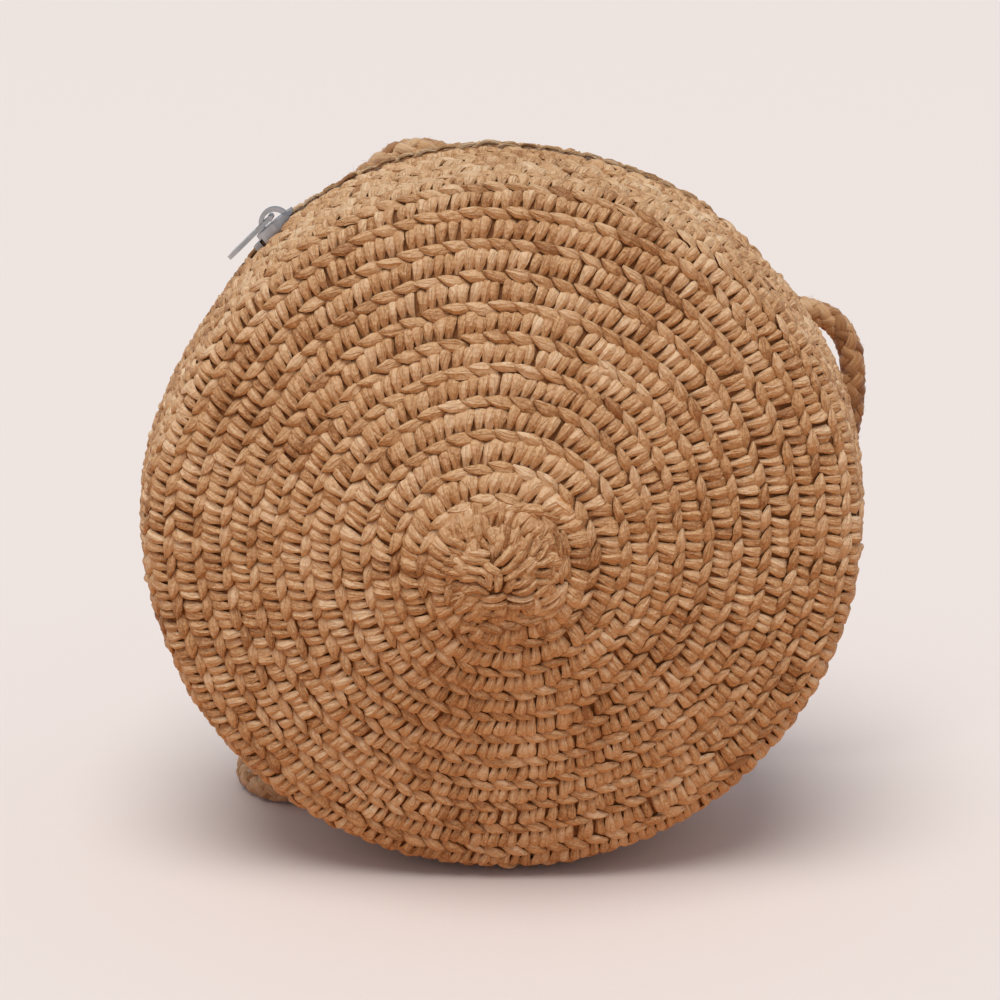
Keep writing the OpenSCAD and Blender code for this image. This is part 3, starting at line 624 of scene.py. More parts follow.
def turned(straw, lean):
    """Turns straws on the wall by an angle each: how far their points lie along and
    across the direction that the angle is measured from."""
    p, q = straw[:2]
    c, w = np.cos(each(lean)), np.sin(each(lean))
    return p * c - q * w, p * w + q * c


def laid_on_cup(straw, s0, a0, lean, back=False):
    """Lays straws on a cup from their starts (s0, a0), in the direction lean, measured
    from outwards along the outline. Past the open edge they are pressed together."""
    along, across = turned(straw, lean)
    s = each(s0) + along
    s = s - EDGE_PRESS * np.maximum(s - (EDGE_S - EDGE_MARGIN), 0)
    radius = each(np.maximum(profile(s0)[0], TIP_MIN_R))
    return on_cup(s, each(a0) + across / radius, straw[2], back), straw[3]


def laid_on_tip(straw, x0, z0, direction, back=False):
    """Lays straws on the tip of the dome, whose flat coordinates x and z become the
    distance from the tip and the angle."""
    along, across = turned(straw, direction)
    x, z = each(x0) + across, each(z0) + along
    return on_cup(np.hypot(x, z), np.arctan2(x, z), straw[2], back), straw[3]


# Along a leg, from on the last row's chain outwards: width as a share, height in mm.
LEG_WIDTH, LEG_THICKNESS, LEG_START, LEG_LENGTH = 2.76, 1.6, 0.60, 0.80
LEG_WIDTHS = np.array([0.52, 0.62, 0.83, 0.98, 1.03, 1.0])
LEG_RISE = np.array([-1.25, -0.56, -0.04, 0.06, -0.12, -1.2])
LEG_SHIFT, LEG_TOP, CHAIN_TOP = (-0.25, 0.25), -0.50, -0.55
# Along a chain leg, from its tip to its tucked end: its two edges as shares of the
# half width, outer edge first, and its height in mm.
CHAIN_LENGTH, CHAIN_WIDTH, CHAIN_THICKNESS, CHAIN_PLACE = 7.4, 3.1, 1.35, 0.325
CHAIN_OUTER = np.array([0.90, 1.0, 1.02, 1.0, 0.96, 0.70, 0.20])
CHAIN_INNER = np.array([0.50, -0.30, -0.86, -1.0, -1.02, -1.0, -0.90])
CHAIN_RISE = np.array([-0.28, 0.06, 0.16, 0.10, -0.42, -1.12, -1.60])
# Straws of the side wall are wider and flatter by these shares, and leave no gaps.
WALL_FULLER, WALL_THINNER = 0.16, 0.22
# Lean in degrees and tone, each as a middle and a random spread
LEG_LEAN, CHAIN_LEAN, LEG_TONE, CHAIN_TONE = (15, 4.2), (93, 4), (0.45, 0.09), (0.43, 0.10)
STITCH_TONE_SPREAD = 0.06
# Random spreads: mm along and aside, share of the length, and mm of height, of tilt from
# end to end and of bow
LEG_ALONG, LEG_ASIDE, LEG_LENGTHS = 0.15, 0.11, 0.03
LEG_HEIGHT, LEG_TILT, LEG_BOW = 0.16, 0.12, 0.15
CHAIN_ALONG, CHAIN_HEIGHT, CHAIN_TILT = 0.1, 0.08, 0.08
# Least and most share of the width, thickness and length
LEG_WIDE, LEG_THICK = (0.92, 1.12), (0.85, 1.2)
CHAIN_WIDE, CHAIN_THICK, CHAIN_LONG = (0.88, 1.1), (0.85, 1.15), (0.95, 1.05)
# At the open edge the last row tapers off while there is this much room for a stitch,
# and its chain is drawn in by a share of a row and kept a margin away
LEAST_ROOM, CHAIN_DRAWN_IN, CHAIN_MARGIN = 0.3, 0.6, 0.9
# Towards the tip, over a reach, stitches lean at random, lengthen and are drawn down
TIP_REACH, TIP_LEAN_SPREAD, TIP_LONGER, TIP_LEG_DOWN, TIP_CHAIN_DOWN = 14.0, 0.3, 0.35, 0.9, 1.2


def spiral(first_turn, last_turn, start_angle, samples=20000):
    """Stitches at equal distances along the spiral s = row * turn, which winds
    anticlockwise as it grows: the turn at each, by the length of the spiral."""
    t = np.linspace(first_turn, last_turn, samples)
    r = profile(ROW * t)[0]
    length = np.r_[0, np.cumsum(np.hypot(np.pi * (r[1:] + r[:-1]), ROW) * np.diff(t))]
    turn = np.interp(np.arange(STITCH / 2, length[-1], STITCH), length, t)
    return turn, start_angle - 2 * np.pi * turn


def uneven_rise(rise, rng, count, height, tilt):
    """Heights along each straw, with a random height and tilt from end to end."""
    return (rise + rng.normal(0, height, (count, 1))
            + rng.normal(0, tilt, (count, 1)) * np.linspace(-1, 1, len(rise)))


def chain_straws(length, width, thick, rise, rng):
    """Chain legs, whose middle runs half way between their outer and inner edges."""
    aside = -width[:, None] * (CHAIN_OUTER + CHAIN_INNER) / 2
    return straws(length, width, thick, (CHAIN_OUTER - CHAIN_INNER) / 2, aside, rise, rng)


def crochet(turn, angle, rng, back=False):
    """Legs and chain of the stitches at these turns of the spiral. Near the tip they
    are drawn together and uneven, and at the open edge the last row tapers off."""
    # Rows wander a little about the even spiral
    wave = 0.30 * np.sin(5.1 * turn + 1.3) + 0.25 * np.sin(3 * angle + turn)
    s_mid = ROW * turn + wave * np.clip(turn - 1, 0, 1)
    room = np.clip((EDGE_S - (ROW * turn - ROW / 2)) / ROW, 0.0, 1.0)
    keep = room > LEAST_ROOM
    s_mid, a_mid, room = s_mid[keep], angle[keep], room[keep]
    tip = np.exp(-(s_mid / TIP_REACH) ** 2)
    r_mid = np.maximum(profile(s_mid)[0], TIP_MIN_R)
    count = len(s_mid)
    on_wall = np.clip((s_mid - EDGE_S + SIDE_W + RIM_L / 2) / RIM_L, 0, 1)
    fuller, thinner = 1 + WALL_FULLER * on_wall, 1 - WALL_THINNER * on_wall
    tone = rng.normal(0, STITCH_TONE_SPREAD, count)
    parts = []
    for offset in LEG_SHIFT:
        lean = np.radians(rng.normal(*LEG_LEAN, count))
        lean = lean + tip * rng.normal(0, TIP_LEAN_SPREAD, count)
        width = LEG_WIDTH / 2 * rng.uniform(*LEG_WIDE, count) * fuller
        thick = LEG_THICKNESS * rng.uniform(*LEG_THICK, count) * thinner
        start = s_mid - ROW * LEG_START + rng.normal(0, LEG_ALONG, count)
        shift = offset * STITCH + rng.normal(0, LEG_ASIDE, count)
        length = ROW * LEG_LENGTH * rng.normal(1, LEG_LENGTHS, count)
        length = length * np.minimum(room + 0.1, 1) * (1 + TIP_LONGER * tip)
        rise = uneven_rise(LEG_RISE + LEG_TOP, rng, count, LEG_HEIGHT, LEG_TILT)
        rise = rise - TIP_LEG_DOWN * tip[:, None] ** 2
        bow = rng.normal(0, LEG_BOW, (count, 1)) * np.sin(np.linspace(0, np.pi, len(LEG_RISE)))
        straw = straws(length, width, thick, LEG_WIDTHS, bow, rise, rng)
        parts.append((*laid_on_cup(straw, start, a_mid + shift / r_mid, lean, back),
                      tone + rng.normal(*LEG_TONE, count)))
    lean = np.radians(rng.normal(*CHAIN_LEAN, count))
    width = CHAIN_WIDTH / 2 * rng.uniform(*CHAIN_WIDE, count) * fuller
    thick = CHAIN_THICKNESS * rng.uniform(*CHAIN_THICK, count) * thinner
    length = CHAIN_LENGTH * rng.uniform(*CHAIN_LONG, count)
    place = np.minimum(s_mid + ROW * CHAIN_PLACE - ROW * CHAIN_DRAWN_IN * (1 - room),
                       EDGE_S - CHAIN_MARGIN)
    rise = uneven_rise(CHAIN_RISE + CHAIN_TOP, rng, count, CHAIN_HEIGHT, CHAIN_TILT)
    rise = rise - TIP_CHAIN_DOWN * tip[:, None] ** 2
    straw = chain_straws(length, width, thick, rise, rng)
    place = place + rng.normal(0, CHAIN_ALONG, count)
    parts.append((*laid_on_cup(straw, place, a_mid - 0.5 * length / r_mid, lean, back),
                  tone + rng.normal(*CHAIN_TONE, count)))
    return parts


# The first rounds are drawn together in the middle: straws lie side by side in small
# fans, each fan with its own direction, about a pinch a little above the tip. A fan is
# (x and z of the middle of its starts, direction in degrees, straws, length, width).
FANS = [
    (-1.0, -4.4, 12, 3, 5.6, 2.2), (3.6, 1.9, 44, 4, 5.2, 2.1), (0.0, 6.4, 10, 2, 5.6, 2.2),
    (-4.4, -1.4, -100, 3, 5.8, 2.2), (-6.4, -7.6, -122, 3, 6.0, 2.3), (4.8, 5.0, 32, 5, 5.4, 2.1),
    (4.9, 9.4, 24, 5, 5.2, 2.2), (-6.4, 7.8, -14, 4, 6.4, 2.3), (-2.0, 6.6, -30, 2, 5.6, 2.2),
    (-13.6, 8.4, 46, 2, 10.2, 3.2), (-2.8, 2.9, -86, 3, 6.4, 2.1), (-8.6, 3.0, -80, 4, 5.6, 2.2),
    (-8.2, -4.0, -108, 4, 6.4, 2.2), (0.8, -1.4, 60, 5, 6.6, 2.1), (-1.4, -2.6, -58, 4, 5.4, 2.1),
    (8.0, 0.9, 82, 4, 5.8, 2.2), (13.4, 10.6, 168, 3, 7.4, 1.5), (14.8, 3.8, 176, 3, 7.0, 1.5),
    (-5.6, -8.6, 94, 3, 7.0, 2.3), (1.6, -8.8, 86, 3, 7.6, 2.3), (9.4, -8.4, 50, 3, 7.0, 2.5),
    (-12.6, -9.4, 20, 2, 6.0, 2.4), (-6.0, 14.4, 78, 1, 6.6, 2.8), (-0.8, 15.3, 86, 1, 6.6, 2.8),
    (4.4, 15.4, 97, 1, 6.6, 2.8), (8.8, 14.8, 112, 1, 6.4, 2.7), (-10.4, -12.2, 116, 1, 6.6, 2.7),
    (-5.6, -14.0, 100, 1, 6.6, 2.7), (-0.4, -14.6, 90, 1, 6.6, 2.7), (4.8, -14.2, 78, 1, 6.6, 2.7),
    (9.6, -12.6, 62, 1, 6.6, 2.7)]
FAN_PITCH, FAN_TURN_DEG, FAN_THICKNESS = 0.98, 4.0, 1.5
FAN_WIDTHS = np.array([0.66, 0.90, 1.0, 1.04, 1.0, 0.80])
FAN_RISE = np.array([-1.15, -0.52, -0.34, -0.34, -0.50, -1.25])
# Random spreads: degrees, mm of height; the middle and spread of the bow and the tones
FAN_WAY_SPREAD, FAN_RISE_SPREAD, FAN_BOW, FAN_TONE = 6, 0.24, (0.25, 0.25), (0.34, 0.12)
# Beside them a flat scrap of straw has been pressed smooth, and is more orange: x, z,
# direction in radians, length, width, height along it and tone.
SCRAP = (11.8, 17.3, np.radians(126), 6.0, 4.0, [-0.9, -0.42, -0.42, -0.42, -0.42, -0.9], 1.18)


def rosette(rng, back=False):
    """Fans of straws about the pinch: straw k of a fan starts beside the last one, by
    the straw's width, and turns on a little. The scrap is one more, wider straw."""
    n = np.array([f[3] for f in FANS])
    x, z, way, length, width = (np.repeat([f[i] for f in FANS], n) for i in (0, 1, 2, 4, 5))
    k = np.concatenate([np.arange(m) - (m - 1) / 2 for m in n])
    count = len(k)
    direction = np.radians(way + k * FAN_TURN_DEG + rng.normal(0, FAN_WAY_SPREAD, count))
    values = [x + k * width * FAN_PITCH * np.cos(np.radians(way)),
              z - k * width * FAN_PITCH * np.sin(np.radians(way)), direction, length, width,
              FAN_RISE + rng.normal(0, FAN_RISE_SPREAD, (count, 1)),
              rng.normal(*FAN_TONE, count)]
    if not back:
        values = [np.concatenate([a, [b]]) for a, b in zip(values, SCRAP)]
        count += 1
    x, z, direction, length, width, rise, tone = values
    bow = rng.normal(*FAN_BOW, (count, 1)) * np.sin(np.linspace(0, np.pi, len(FAN_RISE)))
    straw = straws(length * rng.uniform(0.92, 1.08, count), width / 2, FAN_THICKNESS,
                   FAN_WIDTHS, bow, rise, rng)
    return (*laid_on_tip(straw, x, z, direction, back), tone)


def straw_mesh(name, parts):
    """One mesh from parts of straws, each a (points, UVs, tone per straw): separate tubes
    with end caps."""
    vertices, uvs, tones, quads, caps, offset = [], [], [], [], [], 0
    for points, uv, tone in parts:
        count, rings, corners = points.shape[:3]
        tube, ends = grid_faces(rings, corners)
        shift = each(np.arange(count) * rings * corners) + offset
        quads.append((tube[:, ::-1] + shift).reshape(-1, 4))
        caps.append((np.array(ends)[:, ::-1] + shift).reshape(-1, corners))
        vertices.append(points.reshape(-1, 3))
        uvs.append(uv.reshape(-1, 2))
        tones.append(np.repeat(np.clip(tone, 0, 1.6), rings * corners))
        offset += count * rings * corners
    return new_mesh(name, straw_material, np.vstack(vertices), np.vstack(quads),
                    np.vstack(caps), np.concatenate(tones), np.vstack(uvs), smooth=False)


# Paper straw: a strip of kraft paper, twisted and pressed flat. It is satin, with flat
# facets, soft creases and thin fold lines along its length, and every straw has its own
# tone. UV runs along the straw in millimetres and over 2 across it; the grain is coarse.
CREASES_ACROSS, CREASES_PER_MM, GRAIN_PER_MM, PATCHES_PER_MM = 1.05, 0.20, 1.9, 0.038
# A fold line runs where the creases are at a half, and this sets how fine it is
FOLD_LINES = 13.0
straw_material, tree, shader = new_material("twisted_kraft_paper_straw", 0.6, IOR=1.5)
straw_uv = node(tree, "ShaderNodeUVMap", {"uv_map": "UVMap"}).outputs["UV"]
crease_map = node(tree, "ShaderNodeMapping", {"Scale": (CREASES_PER_MM, CREASES_ACROSS, 1)},
                  Vector=straw_uv).outputs["Vector"]
creases = node(tree, "ShaderNodeTexNoise", {"Scale": 1.0, "Detail": 2.0, "Roughness": 0.45,
                                            "Distortion": 0.4}, Vector=crease_map).outputs["Fac"]
fold_line = creases
for operation, value in (("SUBTRACT", 0.5), ("ABSOLUTE", 0.0), ("MULTIPLY", FOLD_LINES)):
    fold_line = node(tree, "ShaderNodeMath", {"operation": operation, 1: value,
                                              "use_clamp": operation == "MULTIPLY"},
                     _0=fold_line).outputs[0]
place = node(tree, "ShaderNodeTexCoord").outputs["Object"]
patches = node(tree, "ShaderNodeTexNoise", {"Scale": PATCHES_PER_MM / MM, "Detail": 3.0},
               Vector=place).outputs["Fac"]
grain = node(tree, "ShaderNodeTexNoise", {"Scale": GRAIN_PER_MM / MM, "Detail": 2.0},
             Vector=place).outputs["Fac"]
straw_tone = node(tree, "ShaderNodeAttribute", {"attribute_name": "tone"}).outputs["Fac"]
tone = node(tree, "ShaderNodeMath", {"operation": "MULTIPLY", 1: 0.22}, _0=patches).outputs[0]
for weight, pattern in ((0.07, fold_line), (0.12, creases), (0.26, grain), (0.38, straw_tone)):
    tone = node(tree, "ShaderNodeMath", {"operation": "MULTIPLY_ADD", 1: weight}, _0=pattern,
                _2=tone).outputs[0]
relief = creases
for weight, pattern in ((0.22, grain), (0.36, fold_line)):
    relief = node(tree, "ShaderNodeMath", {"operation": "MULTIPLY_ADD", 1: weight}, _0=pattern,
                  _2=relief).outputs[0]
kraft = node(tree, "ShaderNodeValToRGB", {"stops": [
    (0.37, "#9A683C"), (0.50, "#CBA071"), (0.66, "#E4C7A2"), (0.74, "#E4C7A2"),
    (0.86, "#D0965A")]}, Fac=tone)
crease_bump = node(tree, "ShaderNodeBump", {"Strength": 1.0, "Distance": 0.34 * MM},
                   Height=relief)
feed(tree, shader, Base_Color=kraft.outputs["Color"], Normal=crease_bump.outputs["Normal"])

# Under the stitches lies the same paper, seen in the gaps, coloured darker than the straw as
# painted shade.
SHADE_PER_MM = 0.9
under_shade_material, tree, shader = new_material("kraft_paper_straw_painted_shade", 0.8, IOR=1.5)
shade = node(tree, "ShaderNodeTexNoise", {"Scale": SHADE_PER_MM / MM, "Detail": 3.0},
             Vector=node(tree, "ShaderNodeTexCoord").outputs["Object"]).outputs["Fac"]
painted_shade_kraft = node(tree, "ShaderNodeValToRGB", {"stops": [(0.3, "#6E4320"), (0.7, "#93602F")]},
                  Fac=shade)
gap_bump = node(tree, "ShaderNodeBump", {"Strength": 0.6, "Distance": 0.4 * MM}, Height=shade)
feed(tree, shader, Base_Color=painted_shade_kraft.outputs["Color"], Normal=gap_bump.outputs["Normal"])

# A shell has this many points round the bag, and starts at a pin hole in its tip
AROUND, PIN_HOLE = 240, 0.05
# The underside lies this deep under the crest and ends this far short of the open edge
UNDER_DEPTH, UNDER_MARGIN, UNDER_ROWS = 1.5, 0.3, 84
# Cells of a shell this near to a strap hole's axis are left out before it is spread
HOLE_CELLS = 1.5


def thick_shell(outer, inner, kept):
    """Closed shell between two grids of points, (rows, around, 3) each, that run right
    round, over the cells that are kept: both sides of each, and a wall along every edge
    where the next cell isn't kept."""
    rows, around = outer.shape[:2]
    number = np.arange(rows * around).reshape(rows, around)
    a, d = number[:-1], number[1:]
    b, c = np.roll(a, -1, 1), np.roll(d, -1, 1)
    deep = rows * around
    before = np.vstack([np.zeros((1, around), bool), kept[:-1]])
    after = np.vstack([kept[1:], np.zeros((1, around), bool)])
    faces = [np.stack(q, -1)[mask] for q, mask in (
        ((a, b, c, d), kept), ((a + deep, d + deep, c + deep, b + deep), kept),
        ((b, a, a + deep, b + deep), kept & ~before),
        ((d, c, c + deep, d + deep), kept & ~after),
        ((c, b, b + deep, c + deep), kept & ~np.roll(kept, -1, 1)),
        ((a, d, d + deep, a + deep), kept & ~np.roll(kept, 1, 1)))]
    quads = np.vstack(faces)
    used, quads = np.unique(quads, return_inverse=True)
    points = np.vstack([outer.reshape(-1, 3), inner.reshape(-1, 3)])
    return points[used], quads.reshape(-1, 4)


def cup_shell(s, outer_depth, inner_depth, back):
    """Shell of a cup between two depths under its crest, open at its very tip by a pin
    hole, and where the rope goes through the back."""
    angle = np.linspace(0, 2 * np.pi, AROUND, endpoint=False)
    grids = [on_cup(s[:, None], angle[None], -depth, back) for depth in (outer_depth, inner_depth)]
    flat = on_cup(s[:, None], angle[None], -outer_depth, back, spread=0.0)
    corners = flat[:-1], flat[1:], np.roll(flat[:-1], -1, 1), np.roll(flat[1:], -1, 1)
    middle = sum(corners) / 4
    kept = np.ones(middle.shape[:2], bool)
    if back:
        for side in (-1, 1):
            hole = hole_point(side, -outer_depth)
            kept &= np.linalg.norm(middle - hole, axis=-1) > HOLE_CELLS
    return thick_shell(*grids, kept)


# The spiral of stitches: where it starts, and the turn at which it leaves the face
SPIRAL_START, FIRST_TURN, FACE_TURNS = np.radians(36.0), 0.9, 12.4
for name, back, seed in (("front", False, 11), ("back", True, 23)):
    rng = np.random.default_rng(seed)
    turn, angle = spiral(FIRST_TURN, ROWS + 0.5, SPIRAL_START)
    on_face = turn < FACE_TURNS
    for part, chosen in (("face", on_face), ("side", ~on_face)):
        parts = crochet(turn[chosen], angle[chosen], rng, back)
        if part == "face":
            parts.append(rosette(rng, back))
        piece = straw_mesh(f"{name}_cup_{part}_stitches", parts)
        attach(piece, "bag")
        if part == "face":
            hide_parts(f"{name}_cup")
    rows = np.linspace(PIN_HOLE, EDGE_S - UNDER_MARGIN, UNDER_ROWS)
    # The underside is coloured darker than the straw: painted shade in the gaps.
    under = new_mesh(f"{name}_cup_underside", under_shade_material,
                     *cup_shell(rows, UNDER_DEPTH, WALL, back))
    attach(under, "bag")

# The joining band
# One more row of crochet joins the open edges of the two cups, from one end of the zip
# round the bottom to the other: legs from either edge meet under a chain.
BAND_FROM, BAND_TO = np.radians(49.6), np.radians(360 - 44.6)
BAND_LEG_RISE = np.array([-1.2, -0.14, 0.02, 0.04, -0.06, -0.40])
BAND_LEG_LENGTH, BAND_LEG_START, BAND_CHAIN_START = 5.1, 0.7, 0.2
# The middle and the spread of the leans, in degrees, and of the tones
BAND_LEG_LEAN, BAND_CHAIN_LEAN = (8, 5), (94, 4)
BAND_LEG_TONE, BAND_CHAIN_TONE = (0.45, 0.12), (0.43, 0.11)
# Random spreads of the legs in mm, aside and in height
BAND_ASIDE, BAND_HEIGHT = 0.12, 0.1
# Under the stitches: half the width, and the depths of its outside and inside
BAND_HALF, BAND_OUT, BAND_IN = 5.2, -1.85, -3.9


def on_band(y, angle, h):
    """Place on the band: y from the middle of the bag, h above the crest of the wall."""
    r = BAG_R + h
    return settled(r * np.sin(angle), y, r * np.cos(angle) + BAG_R - FOOT_SAG)


def laid_on_band(straw, y0, a0, lean):
    """Lays straws on the band from (y0, a0), with lean measured from the -Y side."""
    along, across = turned(straw, lean)
    return on_band(-each(y0) - along, each(a0) + across / BAG_R, straw[2]), straw[3]


rng = np.random.default_rng(5)
band_count = int((BAND_TO - BAND_FROM) * BAG_R / STITCH)
band_angle = BAND_FROM + (np.arange(band_count) + 0.5) * (BAND_TO - BAND_FROM) / band_count
parts = []
for way in (-1, 1):
    for offset in LEG_SHIFT:
        a = band_angle + (offset * STITCH + rng.normal(0, BAND_ASIDE, band_count)) / BAG_R
        lean = np.radians(rng.normal(*BAND_LEG_LEAN, band_count)) + (np.pi if way < 0 else 0)
        rise = BAND_LEG_RISE + LEG_TOP + rng.normal(0, BAND_HEIGHT, (band_count, 1))
        width = LEG_WIDTH / 2 * rng.uniform(0.92, 1.08, band_count)
        thick = LEG_THICKNESS * rng.uniform(0.85, 1.1, band_count)
        straw = straws(BAND_LEG_LENGTH, width, thick, LEG_WIDTHS[::-1], np.zeros(rise.shape),
                       rise, rng)
        parts.append((*laid_on_band(straw, way * BAND_LEG_START, a, lean),
                      rng.normal(*BAND_LEG_TONE, band_count)))
width = CHAIN_WIDTH / 2 * rng.uniform(0.9, 1.1, band_count)
rise = CHAIN_RISE + CHAIN_TOP + rng.normal(0, CHAIN_HEIGHT, (band_count, 1))
straw = chain_straws(CHAIN_LENGTH, width, CHAIN_THICKNESS, rise, rng)
lean = np.radians(rng.normal(*BAND_CHAIN_LEAN, band_count))
band_angle = band_angle - 0.5 * CHAIN_LENGTH / BAG_R
parts.append((*laid_on_band(straw, BAND_CHAIN_START, band_angle, lean),
              rng.normal(*BAND_CHAIN_TONE, band_count)))
band = straw_mesh("joining_band_stitches", parts)
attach(band, "bag")
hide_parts("joining_band")

band_y = np.array([-BAND_HALF, BAND_HALF, BAND_HALF, -BAND_HALF])
band_h = np.array([BAND_OUT, BAND_OUT, BAND_IN, BAND_IN])
band_v = on_band(band_y, np.linspace(BAND_FROM, BAND_TO, AROUND)[:, None], band_h)
band_q, band_caps = grid_faces(AROUND, len(band_y))
# The band's underside is coloured darker too: painted shade in the gaps.
band_under = new_mesh("joining_band_underside", under_shade_material, band_v.reshape(-1, 3),
                      band_q[:, ::-1], [c[::-1] for c in band_caps], smooth=False)
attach(band_under, "bag")

# The lining
# Plain woven cotton under the crochet: a round panel inside each cup and a strip round
# the side, turned in and sewn to the zip along a slot.
LINING_OUT, LINING_IN, SLOT_Y, PANEL_ROWS = 4.8, 5.6, 5.6, 66
SLOT_FROM_DEG, SLOT_TO_DEG = -44.5, 49.5
# The strip leaves the side wall this far from the open edge
STRIP_MARGIN, STRIP_ROWS = 2.5, 8
# The weave is drawn coarse, so that it shows
LINING_THREADS_PER_MM = 0.33
lining_material, tree, shader = new_material("plain_woven_cotton_lining", 0.9, IOR=1.5)
cloth_place = node(tree, "ShaderNodeTexCoord").outputs["Object"]
weft, warp = (
    node(tree, "ShaderNodeTexWave", {"Scale": LINING_THREADS_PER_MM / MM / WAVES_PER_SCALE,
                                     "bands_direction": way, "Distortion": 0.8, "Detail": 1.0},
         Vector=cloth_place).outputs["Fac"] for way in "XZ")
cloth = node(tree, "ShaderNodeMath", {"operation": "MULTIPLY"}, _0=weft, _1=warp).outputs[0]
cream = node(tree, "ShaderNodeValToRGB", {"stops": [(0.0, "#C9BAA1"), (0.6, "#E0D4BF")]},
             Fac=cloth)
cloth_bump = node(tree, "ShaderNodeBump", {"Strength": 0.5, "Distance": 0.1 * MM}, Height=cloth)
feed(tree, shader, Base_Color=cream.outputs["Color"], Normal=cloth_bump.outputs["Normal"])


def cloth_area(piece):
    """Area of one side of a closed thin cloth, in square metres: half of all its faces."""
    area = np.empty(len(piece.data.polygons))
    piece.data.polygons.foreach_get("area", area)
    return float(area.sum() / 2)


RIM_S = TIP_L + FACE_L + RIM_L
for name, back in (("front", False), ("back", True)):
    rows = np.linspace(PIN_HOLE, RIM_S, PANEL_ROWS)
    panel = new_mesh(f"lining_panel_{name}", lining_material,
                     *cup_shell(rows, LINING_OUT, LINING_IN, back))
    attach(panel, "bag")
    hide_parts(f"lining_{name}")
    cloth_area(panel)


def lining_line(depth):
    """Section of the strip from the front rim to the back one, as radius and Y: the
    inside of the cups' side walls, and a straight part behind the band."""
    r, y, turn = profile(np.linspace(RIM_S, EDGE_S - STRIP_MARGIN, STRIP_ROWS))
    r, y = r - depth * np.sin(turn), y - depth * np.cos(turn)
    middle_r = BAG_R - WALL / np.cos(flare) - (depth - WALL)
    r = np.r_[r, middle_r - 0.1, np.full(3, middle_r)]
    y = np.r_[y, SLOT_Y, EDGE_Y, EDGE_Y / 2, 0]
    return np.r_[r, r[-2::-1]], np.r_[-y, y[-2::-1]]


strip_angle = np.linspace(0, 2 * np.pi, AROUND, endpoint=False)
sides = []
for depth in (LINING_OUT, LINING_IN):
    r, y = (v[:, None] for v in lining_line(depth))
    sides.append(settled(r * np.sin(strip_angle), y, r * np.cos(strip_angle)
                         + BAG_R - FOOT_SAG))
cell_y = np.abs((y[1:] + y[:-1]) / 2)
cell_deg = (np.degrees(strip_angle) + 180 + 180 / AROUND) % 360 - 180
strip_kept = (cell_y > SLOT_Y) | (cell_deg < SLOT_FROM_DEG) | (cell_deg > SLOT_TO_DEG)
strip = new_mesh("lining_strip", lining_material, *thick_shell(*sides, strip_kept))
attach(strip, "bag")
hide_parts("lining_side")
cloth_area(strip)

# The zip
# A coil zip sewn under the edges of the opening: brown tape with a twill that is
# drawn coarse, two nylon coils, and stops, slider and puller of nickel-plated zinc.
TWILL_PER_MM = 0.7
tape_material, tree, shader = new_material("woven_polyester_tape", 0.8, IOR=1.5)
twill = node(tree, "ShaderNodeTexWave", {"Scale": TWILL_PER_MM / MM / WAVES_PER_SCALE,
                                         "Distortion": 0.4, "bands_direction": "DIAGONAL"},
             Vector=node(tree, "ShaderNodeTexCoord").outputs["Object"]).outputs["Fac"]
brown = node(tree, "ShaderNodeValToRGB", {"stops": [(0.0, "#5C3F24"), (1.0, "#785533")]},
             Fac=twill)
twill_bump = node(tree, "ShaderNodeBump", {"Strength": 0.4, "Distance": 0.1 * MM}, Height=twill)
feed(tree, shader, Base_Color=brown.outputs["Color"], Normal=twill_bump.outputs["Normal"])

# Nylon is a little glossy, with a faint uneven dye
DYE_PER_MM = 0.16
coil_material, tree, shader = new_material("nylon_zip_coil", 0.65, IOR=1.53)
dye = node(tree, "ShaderNodeTexNoise", {"Scale": DYE_PER_MM / MM, "Detail": 2.0},
           Vector=node(tree, "ShaderNodeTexCoord").outputs["Object"]).outputs["Fac"]
dyed = node(tree, "ShaderNodeValToRGB", {"stops": [(0.3, "#553A20"), (0.7, "#6C4B2B")]}, Fac=dye)
feed(tree, shader, Base_Color=dyed.outputs["Color"])

# Nickel plating, bright, with handling marks that blur the reflection in places
MARKS_PER_MM = 0.42
metal_material, tree, shader = new_material("nickel_plated_zinc", 0.25, Metallic=1.0,
                                            Base_Color=linear("#B0B0B2"))
marks = node(tree, "ShaderNodeTexNoise", {"Scale": MARKS_PER_MM / MM, "Detail": 4.0},
             Vector=node(tree, "ShaderNodeTexCoord").outputs["Object"]).outputs["Fac"]
blur = node(tree, "ShaderNodeMapRange", {"From Min": 0.3, "From Max": 0.7, "To Min": 0.18,
                                         "To Max": 0.38}, Value=marks)
mark_bump = node(tree, "ShaderNodeBump", {"Strength": 0.2, "Distance": 0.05 * MM}, Height=marks)
feed(tree, shader, Roughness=blur.outputs["Result"], Normal=mark_bump.outputs["Normal"])

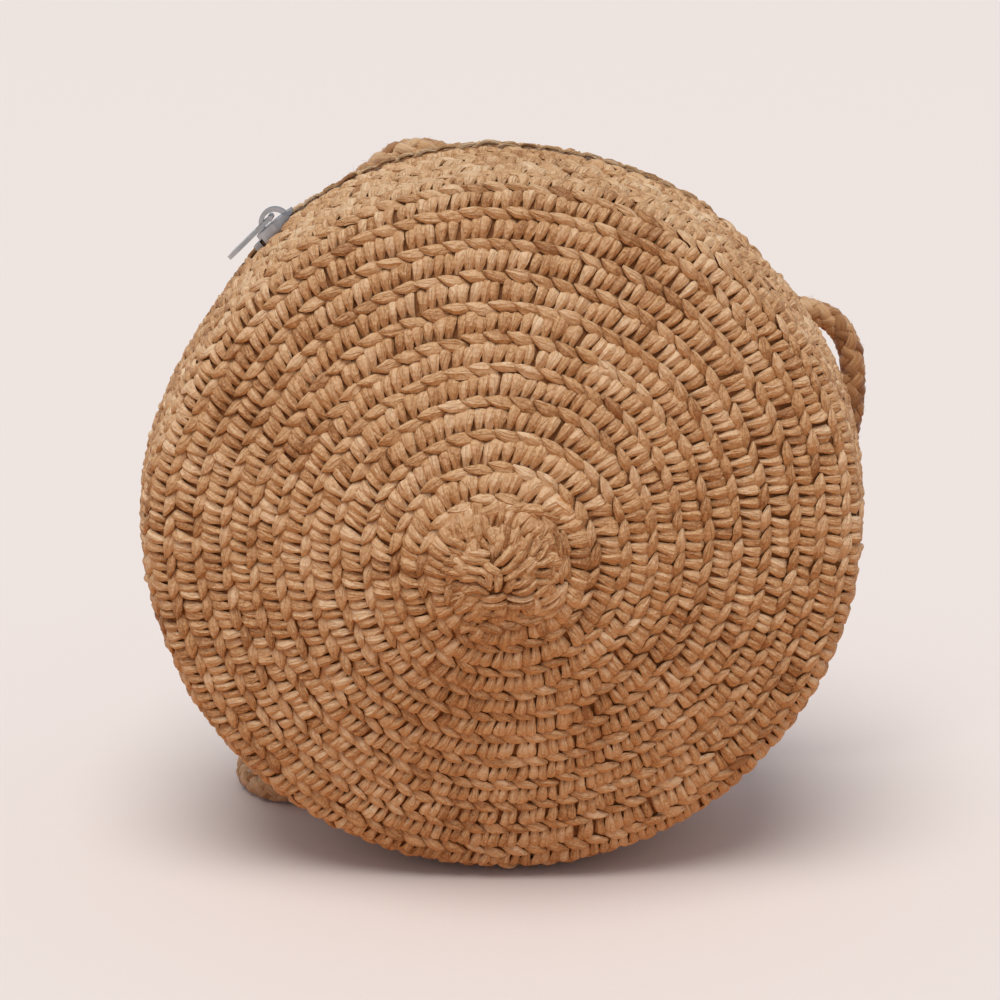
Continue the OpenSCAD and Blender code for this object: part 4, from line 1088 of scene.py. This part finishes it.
for material, names in (
        (tape_material, ("zip_tape_front", "zip_tape_back")),
        (coil_material, ("zip_coil_front", "zip_coil_back")),
        (metal_material, ("zip_top_stops", "zip_bottom_stop", "zip_slider", "zip_puller"))):
    for name in names:
        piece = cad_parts[name]
        piece.data.materials.clear()
        piece.data.materials.append(material)

# Studio and floor
# A wide pale floor under a soft sun, high and in front, and a pale sky. The camera sees
# the floor pale; the bag gets the warmer bounce of a beige table.
FLOOR_HALF = 9000.0
SKY_STRENGTH, SUN_STRENGTH = 0.50, 2.12
SUN_HEIGHT_DEG, SUN_TURN_DEG, SUN_ANGLE_DEG = 71.0, -12.0, 40.0
floor_material, tree, shader = new_material("matt_pale_paper", 0.9)
rays = node(tree, "ShaderNodeLightPath").outputs
seen = rays["Is Camera Ray"]
for ray in ("Is Glossy Ray", "Is Transmission Ray"):
    seen = node(tree, "ShaderNodeMath", {"operation": "MAXIMUM"}, _0=seen, _1=rays[ray]).outputs[0]
pale = node(tree, "ShaderNodeValToRGB", {"stops": [(0.0, "#D4934E"), (1.0, "#EBE2DC")]},
            Fac=seen)
feed(tree, shader, Base_Color=pale.outputs["Color"])
floor_v = np.array([(-1, -1, 0), (1, -1, 0), (1, 1, 0), (-1, 1, 0)]) * FLOOR_HALF
floor = new_mesh("studio_floor", floor_material, floor_v, np.array([[0, 1, 2, 3]]))

world = bpy.data.worlds.new("studio")
world.use_nodes = True
scene.world = world
sky = world.node_tree.nodes["Background"].inputs
sky["Color"].default_value = linear("#E9EFFA")
sky["Strength"].default_value = SKY_STRENGTH

sun_data = bpy.data.lights.new("soft_sun", "SUN")
sun_data.energy = SUN_STRENGTH
sun_data.angle = np.radians(SUN_ANGLE_DEG)
sun_data.color = linear("#FFF9F4")[:3]
sun = bpy.data.objects.new("soft_sun", sun_data)
sun.rotation_euler = Euler((np.radians(90 - SUN_HEIGHT_DEG), 0.0, np.radians(SUN_TURN_DEG)))
scene.collection.objects.link(sun)

scene.view_settings.view_transform = "Standard"
